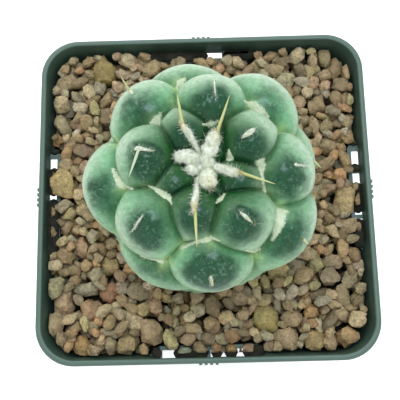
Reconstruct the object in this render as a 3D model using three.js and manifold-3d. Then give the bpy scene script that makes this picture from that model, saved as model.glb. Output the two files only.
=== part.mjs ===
// A small elephant tooth cactus in a square plastic pot filled with brown grit.
// Millimetres, +Z up. The origin is the middle of the pot's underside, and -Y is its front.
import * as THREE from 'three';
import { mergeVertices } from 'three/addons/utils/BufferGeometryUtils.js';
import Module from 'manifold-3d';

const wasm = await Module();
wasm.setup();

// Driving dimensions

const GAP = 0.3;                 // clearance between neighbouring pieces
const SEED = 20;                 // of every random draw

// The pot: half widths are from the middle to a flat side.
const POT = {
  height: 64,
  lipHalf: 35, lipInnerHalf: 33.8, lipHeight: 2.5, lipRound: 0.35,
  collarHalf: 34.45,             // outside, between the lip and the ledges
  shoulderHalf: 34.0,            // outside, at the foot of the collar
  footHalf: 24.4, footChamfer: 0.6,
  wall: 0.95, floor: 1.4,
  cornerTop: 8, cornerFoot: 5,
};
// In the middle of each side the wall steps in, and leaves a ledge that is pierced by slots.
const LEDGE = {
  top: 59.1, thickness: 0.8,
  halfSpan: 12.2, halfFloor: 10.2,
  innerHalf: 31.3, outerHalf: 32.1, footRecess: 0.8,
  slots: 4, slotLength: 4.2, slotRib: 0.8, slotInner: 32.15, slotOuter: 33.7,
};
// A moulded tab of short ribs in the middle of each side of the lip.
const TAB = { ribs: 4, pitch: 1.1, width: 0.6, proud: 0.5, height: 1.8 };
const DRAIN = { radius: 2.75, offset: 13, sideRadius: 2, sideOffset: 17, sides: 12 };

// The grit: a bed with pebbles standing out of its top.
const GRIT = {
  level: 56.4, top: 61.6,
  spacing: 4.7, jitter: 0.4,
  smallest: 2.3, largest: 2.9,   // pebble radii
  lowest: 55.9, highest: 57.6,   // heights of the pebbles' middles
  rough: 0.15,                   // how far a pebble's corners stray, as a share of its radius
  flattest: 0.7, roundest: 0.95, // a pebble's height as a share of its radius
  tilt: 0.5,                     // radians
};

// The stem's foot stands in a plain round hole: [radius, height] down its outside.
const FOOT = [[9, 44], [13.5, 49], [17.2, 57], [19.6, 60.2], [26, 66], [40, 72]];
const ROOT_NECK = [[8.7, 44], [13.2, 49], [16, 56.5], [14, 66]];
const STEM_TOP = 100;
const STEM_SIDES = 32;
const CORE = { height: 71, radius: 14.5, rise: 11.5, sides: 20, rings: 12 };

// The tubercles grow on a spiral, one every golden angle, the youngest in the crown.
const GOLDEN_ANGLE = 137.5;
const SPIRAL_START = 147.5;      // where tubercle 0 stands, in degrees round from +X
const TUBERCLES = 32;
const CROWN = [0.2, -0.7];       // where the spiral's axis stands
// What a tubercle measures at a few ages, counted in tubercles from the crown. Radius and height
// place its middle, height is over the rim, and lean is the tilt of its outward axis in degrees.
const AGES = [
  { age: 0, radius: 4.4, height: 19.2, lean: 89, wide: 5.4, tall: 5.3, deep: 5.5 },
  { age: 4, radius: 6.7, height: 19.4, lean: 90, wide: 6.4, tall: 6.1, deep: 6.4 },
  { age: 8, radius: 9.9, height: 19.0, lean: 83, wide: 7.7, tall: 6.7, deep: 8.1 },
  { age: 12, radius: 12.5, height: 16.4, lean: 59, wide: 8.8, tall: 7.5, deep: 9.5 },
  { age: 15, radius: 13.2, height: 13.8, lean: 45, wide: 9.7, tall: 7.3, deep: 11.0 },
  { age: 18, radius: 12.3, height: 12.0, lean: 38, wide: 10.9, tall: 8.0, deep: 11.6 },
  { age: 22, radius: 11.1, height: 6.3, lean: 25, wide: 10.4, tall: 8.1, deep: 9.7 },
  { age: 31, radius: 11.0, height: -6.5, lean: 5, wide: 10.0, tall: 8.2, deep: 9.5 },
];
// How far the real plant's tubercles stray from the even spiral: degrees round and mm outward.
const STRAY = new Map([
  [0, { turn: 6 }], [3, { turn: 3 }], [5, { turn: 2 }], [6, { turn: 5 }], [8, { out: 0.3 }],
  [9, { turn: -2 }], [11, { turn: 3 }], [12, { out: -0.3 }], [13, { turn: -3, out: 0.3 }],
  [14, { out: -0.2 }], [16, { turn: -2 }], [17, { turn: -1 }], [20, { out: 0.3 }],
]);
// Facets round and along a tubercle: fewer on the old ones low on the sides.
const UPPER_FACETS = [15, 9];
const LOWER_FACETS = [12, 8];
const OLDEST_UPPER = 22;

// An old areole is a narrow woolly slit along the tubercle's tip.
const SLIT = { youngest: 7, halfLength: 1.9, halfWidth: 0.5, halfHeight: 0.5, facets: [6, 4] };
// Its tip lies nearer the crown than the tubercle's on a young one, and further out on an old one.
const SLIT_TURN = { perAge: 2.4, even: 12, most: 14 };

// Spines: the tubercle each grows on, its compass heading, its rise over level and its length.
const SPINE = { radius: 0.36, tip: 0.1, sides: 5, sunk: 0.3 };
const OLD_SPINES = [
  { on: 8, heading: 256, rise: 8, length: 5.6 },
  { on: 13, heading: 122, rise: 30, length: 3.4 },
  { on: 14, heading: 285, rise: 20, length: 1.8 },
  { on: 17, heading: 318, rise: 15, length: 2.6 },
  { on: 20, heading: 5, rise: 12, length: 3.0 },
  { on: 24, heading: 205, rise: 10, length: 3.0 },
];

// The crown's wool lies over the tubercles in a star, with an arm out to each of the youngest
// areoles: the arm's far end, its half width there, and the spine that grows from it, if any.
const WOOL = {
  centre: [0.4, -0.2], centreRadius: 2.6, centreHeight: 1.6, centreFacets: [10, 6],
  lift: 0.3, halfHeight: 1.1, rings: 6, sides: 8,
  spineShare: 0.85,              // how far out along its arm a spine grows
  oldestUnder: 14,               // the oldest tubercle that the wool can touch
};
const WOOL_ARMS = [
  { end: [-4.9, 1.1], halfWidth: 1.4 },
  { end: [1.0, -4.4], halfWidth: 1.8 },
  { end: [2.6, 5.7], halfWidth: 1.5, spine: { heading: 66, rise: 18, length: 6.6 } },
  { end: [-3.3, -1.6], halfWidth: 1.2 },
  { end: [6.3, -2.3], halfWidth: 1.3, spine: { heading: 338, rise: 16, length: 6.8 } },
  { end: [-3.6, 7.0], halfWidth: 0.9, spine: { heading: 97, rise: 20, length: 5.6 } },
  { end: [-1.7, -8.6], halfWidth: 0.9, spine: { heading: 273, rise: 12, length: 7.0 } },
];

// Numbers and vectors

const radians = THREE.MathUtils.degToRad;

// A repeatable stream of numbers from 0 to 1.
function seededStream(seed) {
  let state = seed;
  return () => {
    state = (state + 0x6d2b79f5) | 0;
    let mixed = Math.imul(state ^ (state >>> 15), 1 | state);
    mixed = (mixed + Math.imul(mixed ^ (mixed >>> 7), 61 | mixed)) ^ mixed;
    return ((mixed ^ (mixed >>> 14)) >>> 0) / 4294967296;
  };
}

// The straight line between two heights: what a half width or a depth measures at height z.
function between(z, [zLow, low], [zHigh, high]) {
  return THREE.MathUtils.mapLinear(z, zLow, zHigh, low, high);
}

// A unit vector from a compass heading and a rise over level, both in degrees.
function direction(heading, rise) {
  const level = Math.cos(radians(rise));
  return new THREE.Vector3(
    level * Math.cos(radians(heading)),
    level * Math.sin(radians(heading)),
    Math.sin(radians(rise)),
  );
}

// Joining and cutting

function solidOf(geometry) {
  const bare = geometry.clone();
  bare.deleteAttribute('normal');
  bare.deleteAttribute('uv');
  const merged = mergeVertices(bare, 1e-4);
  return new wasm.Manifold(new wasm.Mesh({
    numProp: 3,
    vertProperties: merged.attributes.position.array,
    triVerts: new Uint32Array(merged.index.array),
  }));
}

function geometryOf(solid) {
  const { vertProperties, triVerts } = solid.getMesh();
  const geometry = new THREE.BufferGeometry();
  geometry.setAttribute('position', new THREE.BufferAttribute(vertProperties, 3));
  geometry.setIndex(new THREE.BufferAttribute(triVerts, 1));
  const faceted = geometry.toNonIndexed();
  faceted.computeVertexNormals();
  return faceted;
}

function joined(solids) {
  return solids.reduce((whole, solid) => whole.add(solid));
}

// The biggest of a solid's separate bodies, so that no loose scrap is left.
function biggestBody(solid) {
  const bodies = solid.decompose();
  return bodies.reduce((best, body) => (body.volume() > best.volume() ? body : best));
}

// Shapes

// A closed skin through rings of points that all have the same number, capped at both ends.
function loft(rings) {
  const count = rings[0].length;
  const positions = rings.flat().flatMap((point) => [point.x, point.y, point.z]);
  const index = [];
  for (let ring = 0; ring + 1 < rings.length; ring += 1) {
    for (let i = 0; i < count; i += 1) {
      const a = ring * count + i;
      const b = ring * count + ((i + 1) % count);
      index.push(a, b, b + count, a, b + count, a + count);
    }
  }
  const capWith = (ring, turned) => {
    const middle = new THREE.Vector3();
    rings[ring].forEach((point) => middle.addScaledVector(point, 1 / count));
    const centre = positions.length / 3;
    positions.push(middle.x, middle.y, middle.z);
    for (let i = 0; i < count; i += 1) {
      const a = ring * count + i;
      const b = ring * count + ((i + 1) % count);
      index.push(...(turned ? [centre, b, a] : [centre, a, b]));
    }
  };
  capWith(0, true);
  capWith(rings.length - 1, false);
  const geometry = new THREE.BufferGeometry();
  geometry.setAttribute('position', new THREE.Float32BufferAttribute(positions, 3));
  geometry.setIndex(index);
  return geometry;
}

// A square with round corners, whose sides step in by recess in their middles, over a stretch that
// widen makes longer at both ends.
function squareRing({ z, half, corner, recess = 0, widen = 0 }) {
  const arcSteps = 4;
  const points = [];
  for (let side = 0; side < 4; side += 1) {
    const turn = (side * Math.PI) / 2;
    const put = (x, y) => points.push(
      new THREE.Vector3(x, y, z).applyAxisAngle(new THREE.Vector3(0, 0, 1), turn),
    );
    put(half, -LEDGE.halfSpan - widen);
    put(half - recess, -LEDGE.halfFloor - widen);
    put(half - recess, LEDGE.halfFloor + widen);
    put(half, LEDGE.halfSpan + widen);
    for (let i = 0; i <= arcSteps; i += 1) {
      const angle = (i / arcSteps) * (Math.PI / 2);
      const reach = half - corner;
      put(reach + corner * Math.cos(angle), reach + corner * Math.sin(angle));
    }
  }
  return points;
}

// A shape turned round the Z axis from a profile of [radius, height] points, closed on the axis.
function turned(profile, sides) {
  const first = profile[0];
  const last = profile[profile.length - 1];
  const closed = [[0, first[1]], ...profile, [0, last[1]]];
  const points = closed.map(([radius, height]) => new THREE.Vector2(radius, height));
  return new THREE.LatheGeometry(points, sides).rotateX(Math.PI / 2);
}

// A ball stretched along three directions, which are the columns of its frame.
function ellipsoid(centre, [across, along, outward], [wide, tall, deep], sides, rings) {
  const frame = new THREE.Matrix4().makeBasis(
    across.clone().multiplyScalar(wide),
    along.clone().multiplyScalar(tall),
    outward.clone().multiplyScalar(deep),
  ).setPosition(centre);
  return new THREE.SphereGeometry(1, sides, rings).rotateX(Math.PI / 2).applyMatrix4(frame);
}

function box(width, depth, height, x, y, z) {
  return new THREE.BoxGeometry(width, depth, height).translate(x, y, z);
}

function spine(base, { heading, rise, length }) {
  const way = direction(heading, rise);
  const upright = new THREE.Quaternion().setFromUnitVectors(new THREE.Vector3(0, 1, 0), way);
  const middle = base.clone().addScaledVector(way, length / 2);
  return new THREE.CylinderGeometry(SPINE.tip, SPINE.radius, length, SPINE.sides)
    .applyQuaternion(upright)
    .translate(middle.x, middle.y, middle.z);
}

// The pot

// The pot's outside and inside at a height between the foot and the ledges.
const outerHalf = (z) => between(z, [0, POT.footHalf], [LEDGE.top, POT.shoulderHalf]);
const innerHalf = (z) => outerHalf(z) - POT.wall;
const cornerRadius = (z) => between(z, [0, POT.cornerFoot], [POT.height, POT.cornerTop]);
const outerRecess = (z) => between(
  z,
  [0, LEDGE.footRecess],
  [LEDGE.top, POT.shoulderHalf - LEDGE.outerHalf],
);
const innerRecess = (z) => between(
  z,
  [0, LEDGE.footRecess],
  [LEDGE.top, innerHalf(LEDGE.top) - LEDGE.innerHalf],
);

// Above the ledges the inside flares to the lip, and is already at the lip over each ledge.
const collarInnerHalf = (z) => between(
  z,
  [LEDGE.top, innerHalf(LEDGE.top)],
  [POT.height - POT.lipRound, POT.lipInnerHalf],
);
const collarBulge = (z) => collarInnerHalf(z) - POT.lipInnerHalf;

function potRings() {
  const under = LEDGE.top - LEDGE.thickness;
  const lipFoot = POT.height - POT.lipHeight;
  const outside = (z, half, recess = 0) => squareRing({ z, half, corner: cornerRadius(z), recess });
  const inside = (z, half, recess = 0) => squareRing({
    z,
    half,
    corner: cornerRadius(z) - POT.wall,
    recess,
  });
  return [
    outside(0, POT.footHalf - POT.footChamfer, outerRecess(0)),
    outside(POT.footChamfer, outerHalf(POT.footChamfer), outerRecess(POT.footChamfer)),
    outside(under, outerHalf(under), outerRecess(under)),
    outside(under, outerHalf(under), outerHalf(under) - POT.collarHalf),
    outside(lipFoot - POT.lipRound, POT.collarHalf),
    outside(lipFoot, POT.lipHalf - POT.lipRound),
    outside(lipFoot + POT.lipRound, POT.lipHalf),
    outside(POT.height - POT.lipRound, POT.lipHalf),
    outside(POT.height, POT.lipHalf - POT.lipRound),
    inside(POT.height, POT.lipInnerHalf + POT.lipRound),
    inside(POT.height - POT.lipRound, POT.lipInnerHalf),
    inside(LEDGE.top, innerHalf(LEDGE.top), collarBulge(LEDGE.top)),
    inside(LEDGE.top, innerHalf(LEDGE.top), innerRecess(LEDGE.top)),
    inside(POT.floor, innerHalf(POT.floor), innerRecess(POT.floor)),
  ];
}

// The same four cuts or ribs on every side, each placed as on the +X side.
function onFourSides(shapes) {
  return [0, 1, 2, 3].flatMap((side) => shapes.map(
    (shape) => solidOf(shape.clone().rotateZ((side * Math.PI) / 2)),
  ));
}

function ledgeSlots() {
  const pitch = LEDGE.slotLength + LEDGE.slotRib;
  const depth = LEDGE.slotOuter - LEDGE.slotInner;
  const middle = (LEDGE.slotOuter + LEDGE.slotInner) / 2;
  return Array.from({ length: LEDGE.slots }, (_, i) => box(
    depth, LEDGE.slotLength, LEDGE.thickness * 4,
    middle, (i - (LEDGE.slots - 1) / 2) * pitch, LEDGE.top - LEDGE.thickness / 2,
  ));
}

function tabRibs() {
  const sunk = 0.4;
  return Array.from({ length: TAB.ribs }, (_, i) => box(
    TAB.proud + sunk, TAB.width, TAB.height,
    POT.lipHalf + (TAB.proud - sunk) / 2, (i - (TAB.ribs - 1) / 2) * TAB.pitch,
    POT.height - POT.lipHeight / 2,
  ));
}

function drainHole(radius, x, y) {
  return new THREE.CylinderGeometry(radius, radius, POT.floor * 4, DRAIN.sides)
    .rotateX(Math.PI / 2)
    .translate(x, y, 0);
}

function makePot() {
  const shell = joined([solidOf(loft(potRings())), ...onFourSides(tabRibs())]);
  const cuts = onFourSides([
    ...ledgeSlots(),
    drainHole(DRAIN.radius, DRAIN.offset, DRAIN.offset),
    drainHole(DRAIN.sideRadius, DRAIN.sideOffset, 0),
  ]);
  return shell.subtract(joined(cuts));
}

// The stem

// A measure at any age: a smooth curve through its values at the ages given above.
function measure(name, age) {
  const last = AGES.length - 1;
  const slope = (i) => {
    const before = AGES[Math.max(i - 1, 0)];
    const after = AGES[Math.min(i + 1, last)];
    return (after[name] - before[name]) / (after.age - before.age);
  };
  const start = Math.max(AGES.findLastIndex((row) => row.age <= age), 0);
  const from = Math.min(start, last - 1);
  const span = AGES[from + 1].age - AGES[from].age;
  const t = (age - AGES[from].age) / span;
  const rise = AGES[from + 1][name] - AGES[from][name];
  const ease = t * t * (3 - 2 * t);
  const leave = t * (1 - t) * (1 - t) * span * slope(from);
  const arrive = t * t * (t - 1) * span * slope(from + 1);
  return AGES[from][name] + rise * ease + leave + arrive;
}

// Where a tubercle stands, its three directions, and its three half sizes.
function tubercleAt(age) {
  const { turn = 0, out = 0 } = STRAY.get(age) ?? {};
  const heading = SPIRAL_START + GOLDEN_ANGLE * age + turn;
  const outward = direction(heading, measure('lean', age));
  const across = direction(heading + 90, 0);
  const along = new THREE.Vector3().crossVectors(outward, across);
  const centre = direction(heading, 0).multiplyScalar(measure('radius', age) + out);
  centre.x += CROWN[0];
  centre.y += CROWN[1];
  centre.z = POT.height + measure('height', age);
  const sizes = [measure('wide', age), measure('tall', age), measure('deep', age)];
  return { age, centre, frame: [across, along, outward], sizes };
}

// A tubercle's solid, thicker all over by grow.
function tubercleSolid({ age, centre, frame, sizes }, grow) {
  const grown = sizes.map((size) => size + grow);
  const facets = age <= OLDEST_UPPER ? UPPER_FACETS : LOWER_FACETS;
  return solidOf(ellipsoid(centre, frame, grown, ...facets));
}

// The point of a tubercle's skin where its areole is.
function areolePoint({ age, centre, frame, sizes }) {
  const { perAge, even, most } = SLIT_TURN;
  const turn = radians(THREE.MathUtils.clamp(perAge * (even - age), -most, most));
  return centre.clone()
    .addScaledVector(frame[1], sizes[1] * Math.sin(turn))
    .addScaledVector(frame[2], sizes[2] * Math.cos(turn));
}

function areoleSlit(tubercle) {
  const size = [SLIT.halfWidth, SLIT.halfLength, SLIT.halfHeight];
  return solidOf(ellipsoid(areolePoint(tubercle), tubercle.frame, size, ...SLIT.facets));
}

function makeStem(tubercles) {
  const core = new THREE.SphereGeometry(1, CORE.sides, CORE.rings)
    .rotateX(Math.PI / 2)
    .scale(CORE.radius, CORE.radius, CORE.rise)
    .translate(CROWN[0], CROWN[1], CORE.height);
  const widest = FOOT[FOOT.length - 1][0];
  const envelope = solidOf(turned([...FOOT, [widest, STEM_TOP]], STEM_SIDES));
  const flesh = joined([
    solidOf(core),
    solidOf(turned(ROOT_NECK, STEM_SIDES)),
    ...tubercles.map((tubercle) => tubercleSolid(tubercle, 0)),
  ]).intersect(envelope);
  const slits = tubercles.filter(({ age }) => age >= SLIT.youngest).map(areoleSlit);
  const spines = OLD_SPINES.map(({ on, ...way }) => {
    const outward = tubercles[on].frame[2];
    const base = areolePoint(tubercles[on]).addScaledVector(outward, -SPINE.sunk);
    return solidOf(spine(base, way));
  });
  return biggestBody(joined([flesh, ...slits, ...spines]));
}

// The crown's wool

// How high the flesh stands at a place seen from above: the top of the highest tubercle there.
function fleshHeight(x, y, tubercles) {
  const tops = tubercles.map(({ centre, frame, sizes }) => {
    const from = new THREE.Vector3(x, y, 0).sub(centre);
    const start = new THREE.Vector3(...frame.map((axis, i) => axis.dot(from) / sizes[i]));
    const way = new THREE.Vector3(...frame.map((axis, i) => axis.z / sizes[i]));
    const [a, b, c] = [way.lengthSq(), start.dot(way), start.lengthSq() - 1];
    const inside = b * b - a * c;
    return inside < 0 ? 0 : (Math.sqrt(inside) - b) / a;
  });
  return Math.max(...tops);
}

// An arm is a thick cord laid on the flesh, with a blunt end at the areole.
function woolArm({ end, halfWidth, spine: way }, tubercles) {
  const [x, y] = WOOL.centre;
  const heading = THREE.MathUtils.radToDeg(Math.atan2(end[1] - y, end[0] - x));
  const onFlesh = (share) => {
    const place = [THREE.MathUtils.lerp(x, end[0], share), THREE.MathUtils.lerp(y, end[1], share)];
    return new THREE.Vector3(...place, fleshHeight(...place, tubercles) + WOOL.lift);
  };
  const ring = (step) => {
    const share = step / (WOOL.rings - 1);
    const blunt = step === WOOL.rings - 1 ? 0.5 : 1;
    return Array.from({ length: WOOL.sides }, (_, i) => {
      const angle = (2 * Math.PI * i) / WOOL.sides;
      return onFlesh(share)
        .addScaledVector(direction(heading + 90, 0), blunt * halfWidth * Math.cos(angle))
        .addScaledVector(direction(0, 90), blunt * WOOL.halfHeight * Math.sin(angle));
    });
  };
  const cord = solidOf(loft(Array.from({ length: WOOL.rings }, (_, step) => ring(step))));
  return way ? [cord, solidOf(spine(onFlesh(WOOL.spineShare), way))] : [cord];
}

function makeWool(tubercles) {
  const crown = tubercles.filter(({ age }) => age <= WOOL.oldestUnder);
  const [x, y] = WOOL.centre;
  const middle = new THREE.Vector3(x, y, fleshHeight(x, y, crown));
  const axes = [direction(0, 0), direction(90, 0), direction(0, 90)];
  const size = [WOOL.centreRadius, WOOL.centreRadius, WOOL.centreHeight];
  const tuft = joined([
    solidOf(ellipsoid(middle, axes, size, ...WOOL.centreFacets)),
    ...WOOL_ARMS.flatMap((arm) => woolArm(arm, crown)),
  ]);
  const room = joined(crown.map((tubercle) => tubercleSolid(tubercle, GAP)));
  return biggestBody(tuft.subtract(room));
}

// The grit

// The hollow that the grit fills, a gap away from the pot all round.
function fillRings(top) {
  const ledge = LEDGE.top + GAP;
  const ring = (z, half, recess) => squareRing({
    z,
    half: half - GAP,
    corner: cornerRadius(z) - POT.wall - GAP,
    recess,
    widen: recess > 0 ? 2 * GAP : -2 * GAP,
  });
  const floor = POT.floor + GAP;
  const rings = [ring(floor, innerHalf(floor), innerRecess(floor))];
  if (top <= LEDGE.top) {
    return [...rings, ring(top, innerHalf(top), innerRecess(top))];
  }
  return [
    ...rings,
    ring(ledge, innerHalf(LEDGE.top), innerRecess(LEDGE.top)),
    ring(ledge, innerHalf(LEDGE.top), collarBulge(LEDGE.top)),
    ring(top, collarInnerHalf(top), collarBulge(top)),
  ];
}

// How wide the clearance round the stem's foot is at a height.
function clearRadius(z) {
  const above = FOOT.findIndex(([, height]) => height >= z);
  const [low, high] = [FOOT[above - 1], FOOT[above]];
  return between(z, [low[1], low[0]], [high[1], high[0]]) + GAP;
}

function pebble(centre, radius, random) {
  const geometry = mergeVertices(bareIcosahedron());
  const corners = geometry.attributes.position;
  for (let i = 0; i < corners.count; i += 1) {
    const corner = new THREE.Vector3().fromBufferAttribute(corners, i);
    corner.multiplyScalar(THREE.MathUtils.lerp(1 - GRIT.rough, 1 + GRIT.rough, random()));
    corners.setXYZ(i, corner.x, corner.y, corner.z);
  }
  const height = THREE.MathUtils.lerp(GRIT.flattest, GRIT.roundest, random());
  const turn = new THREE.Euler(
    GRIT.tilt * random(),
    GRIT.tilt * random(),
    2 * Math.PI * random(),
  );
  return geometry
    .scale(radius, radius, height * radius)
    .applyQuaternion(new THREE.Quaternion().setFromEuler(turn))
    .translate(centre.x, centre.y, centre.z);
}

function bareIcosahedron() {
  const geometry = new THREE.IcosahedronGeometry(1, 0);
  geometry.deleteAttribute('normal');
  geometry.deleteAttribute('uv');
  return geometry;
}

// Pebbles on a loose honeycomb, none of them reaching into the hole for the stem.
function pebbles(random) {
  const shapes = [];
  const rowStep = GRIT.spacing * Math.sqrt(0.75);
  const rows = Math.ceil(POT.lipInnerHalf / rowStep);
  for (let row = -rows; row <= rows; row += 1) {
    for (let column = -rows; column <= rows; column += 1) {
      const stagger = row % 2 ? 0.5 : 0;
      const centre = new THREE.Vector3(
        (column + stagger + GRIT.jitter * (random() - 0.5)) * GRIT.spacing,
        row * rowStep + GRIT.jitter * (random() - 0.5) * GRIT.spacing,
        THREE.MathUtils.lerp(GRIT.lowest, GRIT.highest, random()),
      );
      const radius = THREE.MathUtils.lerp(GRIT.smallest, GRIT.largest, random() ** 2);
      const shape = pebble(centre, radius, random);
      const reach = (1 + GRIT.rough) * radius;
      const top = centre.z + GRIT.flattest * radius;
      const clearOfStem = Math.hypot(centre.x, centre.y) - reach > clearRadius(top);
      const insideLip = Math.max(Math.abs(centre.x), Math.abs(centre.y)) < POT.lipInnerHalf;
      if (clearOfStem && insideLip) {
        shapes.push(solidOf(shape));
      }
    }
  }
  return shapes;
}

function makeGrit() {
  const random = seededStream(SEED);
  const bed = solidOf(loft(fillRings(GRIT.level)));
  const room = solidOf(loft(fillRings(GRIT.top)));
  const cleared = FOOT.map(([radius, height]) => [radius + GAP, height - GAP]);
  const hole = solidOf(turned(cleared, STEM_SIDES));
  const heap = joined([bed, ...pebbles(random)]).intersect(room).subtract(hole);
  return biggestBody(heap);
}

// The whole part

function named(name, solid, colour, roughness) {
  const material = new THREE.MeshStandardMaterial({ color: colour, roughness, metalness: 0 });
  const mesh = new THREE.Mesh(geometryOf(solid), material);
  mesh.name = name;
  return mesh;
}

const tubercles = Array.from({ length: TUBERCLES }, (_, age) => tubercleAt(age));

const part = new THREE.Group();
part.add(named('pot', makePot(), '#24332b', 0.45));
part.add(named('grit', makeGrit(), '#97815c', 0.95));
part.add(named('cactus_stem', makeStem(tubercles), '#4f8a6b', 0.5));
part.add(named('apex_wool', makeWool(tubercles), '#e6e8dc', 0.95));

export default part;
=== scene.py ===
# %% [markdown]
# # A young elephant tooth cactus in a square pot
#
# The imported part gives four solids: a plastic pot, the grit in it, the cactus and the wool on its
# crown. Here each gets its finished surface: a pot with rounded edges, more than a thousand loose
# stones, a skin with creases and bloom, and wool made of fibres. Shapes are worked out in
# millimetres as whole numpy arrays, and only the last step turns them to metres.

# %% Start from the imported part
import math

import bmesh
import bpy
import numpy as np
from mathutils import Matrix, Vector


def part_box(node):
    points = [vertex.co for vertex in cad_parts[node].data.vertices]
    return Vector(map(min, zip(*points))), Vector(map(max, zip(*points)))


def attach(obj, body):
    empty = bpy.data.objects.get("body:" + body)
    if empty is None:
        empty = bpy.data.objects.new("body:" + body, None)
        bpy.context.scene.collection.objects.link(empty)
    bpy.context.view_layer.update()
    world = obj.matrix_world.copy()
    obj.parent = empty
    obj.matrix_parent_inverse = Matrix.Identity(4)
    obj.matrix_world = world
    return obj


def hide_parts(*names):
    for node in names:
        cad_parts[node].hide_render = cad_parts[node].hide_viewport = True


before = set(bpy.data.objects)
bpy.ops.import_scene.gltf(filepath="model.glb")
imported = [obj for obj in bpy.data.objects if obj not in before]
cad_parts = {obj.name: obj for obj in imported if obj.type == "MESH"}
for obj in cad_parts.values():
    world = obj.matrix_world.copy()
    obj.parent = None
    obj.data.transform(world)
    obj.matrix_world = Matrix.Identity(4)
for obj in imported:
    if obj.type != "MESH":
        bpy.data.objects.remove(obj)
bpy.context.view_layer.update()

MM = 0.001
RIM = round(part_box("pot")[1][2] / MM, 1)     # the rim's height over the table
rng = np.random.default_rng(20)
print("packed nodes:", sorted(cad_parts), "rim at", RIM, "mm")

# %% [markdown]
# ## The camera
#
# The four straight sides of the pot's rim fix the camera: it hangs over the front of the pot and
# looks almost straight down. It could be turned and moved by hand until the rim fits, but its
# place in millimetres and its three turns in degrees were solved from the rim's corners instead.

# %% The camera
PICTURE = 400                    # pixels along each side of the picture
FOCAL_PIXELS = 728.4             # focal length, in pixels
SENSOR = 36.0                    # width of the sensor in mm
TURNS = np.radians([-12.46, -0.97, 1.31])
EYE = np.array([0.758, -34.513, 212.656])


def turn_about(axis, angle):
    """A right-handed turn about one axis of the frame, as a 3 x 3 matrix."""
    a, b = [(1, 2), (2, 0), (0, 1)][axis]
    turn = np.eye(3)
    turn[a, a] = turn[b, b] = math.cos(angle)
    turn[a, b] = -math.sin(angle)
    turn[b, a] = math.sin(angle)
    return turn


to_camera = turn_about(0, TURNS[0]) @ turn_about(1, TURNS[1]) @ turn_about(2, TURNS[2])
camera_place = np.eye(4)
camera_place[:3, :3] = to_camera.T
camera_place[:3, 3] = EYE * MM
camera_data = bpy.data.cameras.new("camera")
camera_data.sensor_width = SENSOR
camera_data.lens = FOCAL_PIXELS / PICTURE * SENSOR
camera_data.clip_start = 0.01
camera_data.clip_end = 20
camera = bpy.data.objects.new("camera", camera_data)
camera.matrix_world = Matrix(camera_place.tolist())
bpy.context.scene.collection.objects.link(camera)
bpy.context.scene.camera = camera
print("lens", round(camera_data.lens, 2), "mm")

# %% [markdown]
# With the camera known, a pixel of the picture can be followed back as a line of sight. That helps
# to lay small things, such as wool, exactly on the skin.

# %% Lines of sight
def sight(pixels):
    """Lines of sight through pixels: ((x - middle) / focal length, (middle - y) / focal length,
    -1), turned from the camera's frame into the part's."""
    pixels = np.atleast_2d(np.asarray(pixels, float))
    away = np.stack([
        (pixels[:, 0] - PICTURE / 2) / FOCAL_PIXELS,
        (PICTURE / 2 - pixels[:, 1]) / FOCAL_PIXELS,
        -np.ones(len(pixels)),
    ], axis=1)
    return away @ to_camera


def at_height(pixels, height):
    """Where lines of sight cross a level plane."""
    away = sight(pixels)
    return EYE + away * ((height - EYE[2]) / away[:, 2])[:, None]


print("middle of the picture at the rim:", at_height((PICTURE / 2, PICTURE / 2), RIM)[0].round(1))

# %% [markdown]
# ## Helpers for meshes and materials
#
# A grid of points becomes a surface once every four neighbours make a face. One function builds
# those faces. Another closes six such grids to a ball, which has no crowded poles as a globe has.

# %% Grids
def grid_faces(rows, columns, wrap=True):
    """Faces of a grid of rows x columns points, whose last column meets the first if it wraps."""
    row = np.arange(rows - 1)[:, None]
    column = np.arange(columns if wrap else columns - 1)[None, :]
    following = (column + 1) % columns
    corners = [row * columns + column, row * columns + following,
               (row + 1) * columns + following, (row + 1) * columns + column]
    return np.stack(np.broadcast_arrays(*corners), axis=-1).reshape(-1, 4)


def unit_vectors(vectors):
    """Vectors of a grid, each divided by its own length."""
    return vectors / np.linalg.norm(vectors, axis=-1, keepdims=True)


def ball_grid(n):
    """A ball from six square grids: points of a cube's skin, spread evenly by the tangent of an
    angle and pushed out to length 1. Returns its points and its faces, which point outwards."""
    side = np.tan(np.linspace(-1, 1, n + 1) * math.pi / 4)
    u, v = np.meshgrid(side, side, indexing="ij")
    one = np.ones_like(u)
    walls = [(one, u, v), (-one, v, u), (v, one, u), (u, -one, v), (u, v, one), (v, u, -one)]
    points = np.concatenate([np.stack(wall, axis=-1).reshape(-1, 3) for wall in walls])
    quads = np.concatenate([grid_faces(n + 1, n + 1, wrap=False) + i * (n + 1) ** 2
                            for i in range(6)])
    _, first, same = np.unique(np.round(points, 6), axis=0, return_index=True,
                               return_inverse=True)
    return unit_vectors(points[first]), same.reshape(-1)[quads][:, ::-1]


print("a ball of two cells a side:", len(ball_grid(2)[0]), "points,", len(ball_grid(2)[1]), "faces")

# %% [markdown]
# The last step of every shape is the same: whole arrays of points and faces go into a mesh, which
# is far quicker than point by point. Numbers that a finish reads, such as how old the skin is, are
# stored on the points as attributes.

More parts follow.
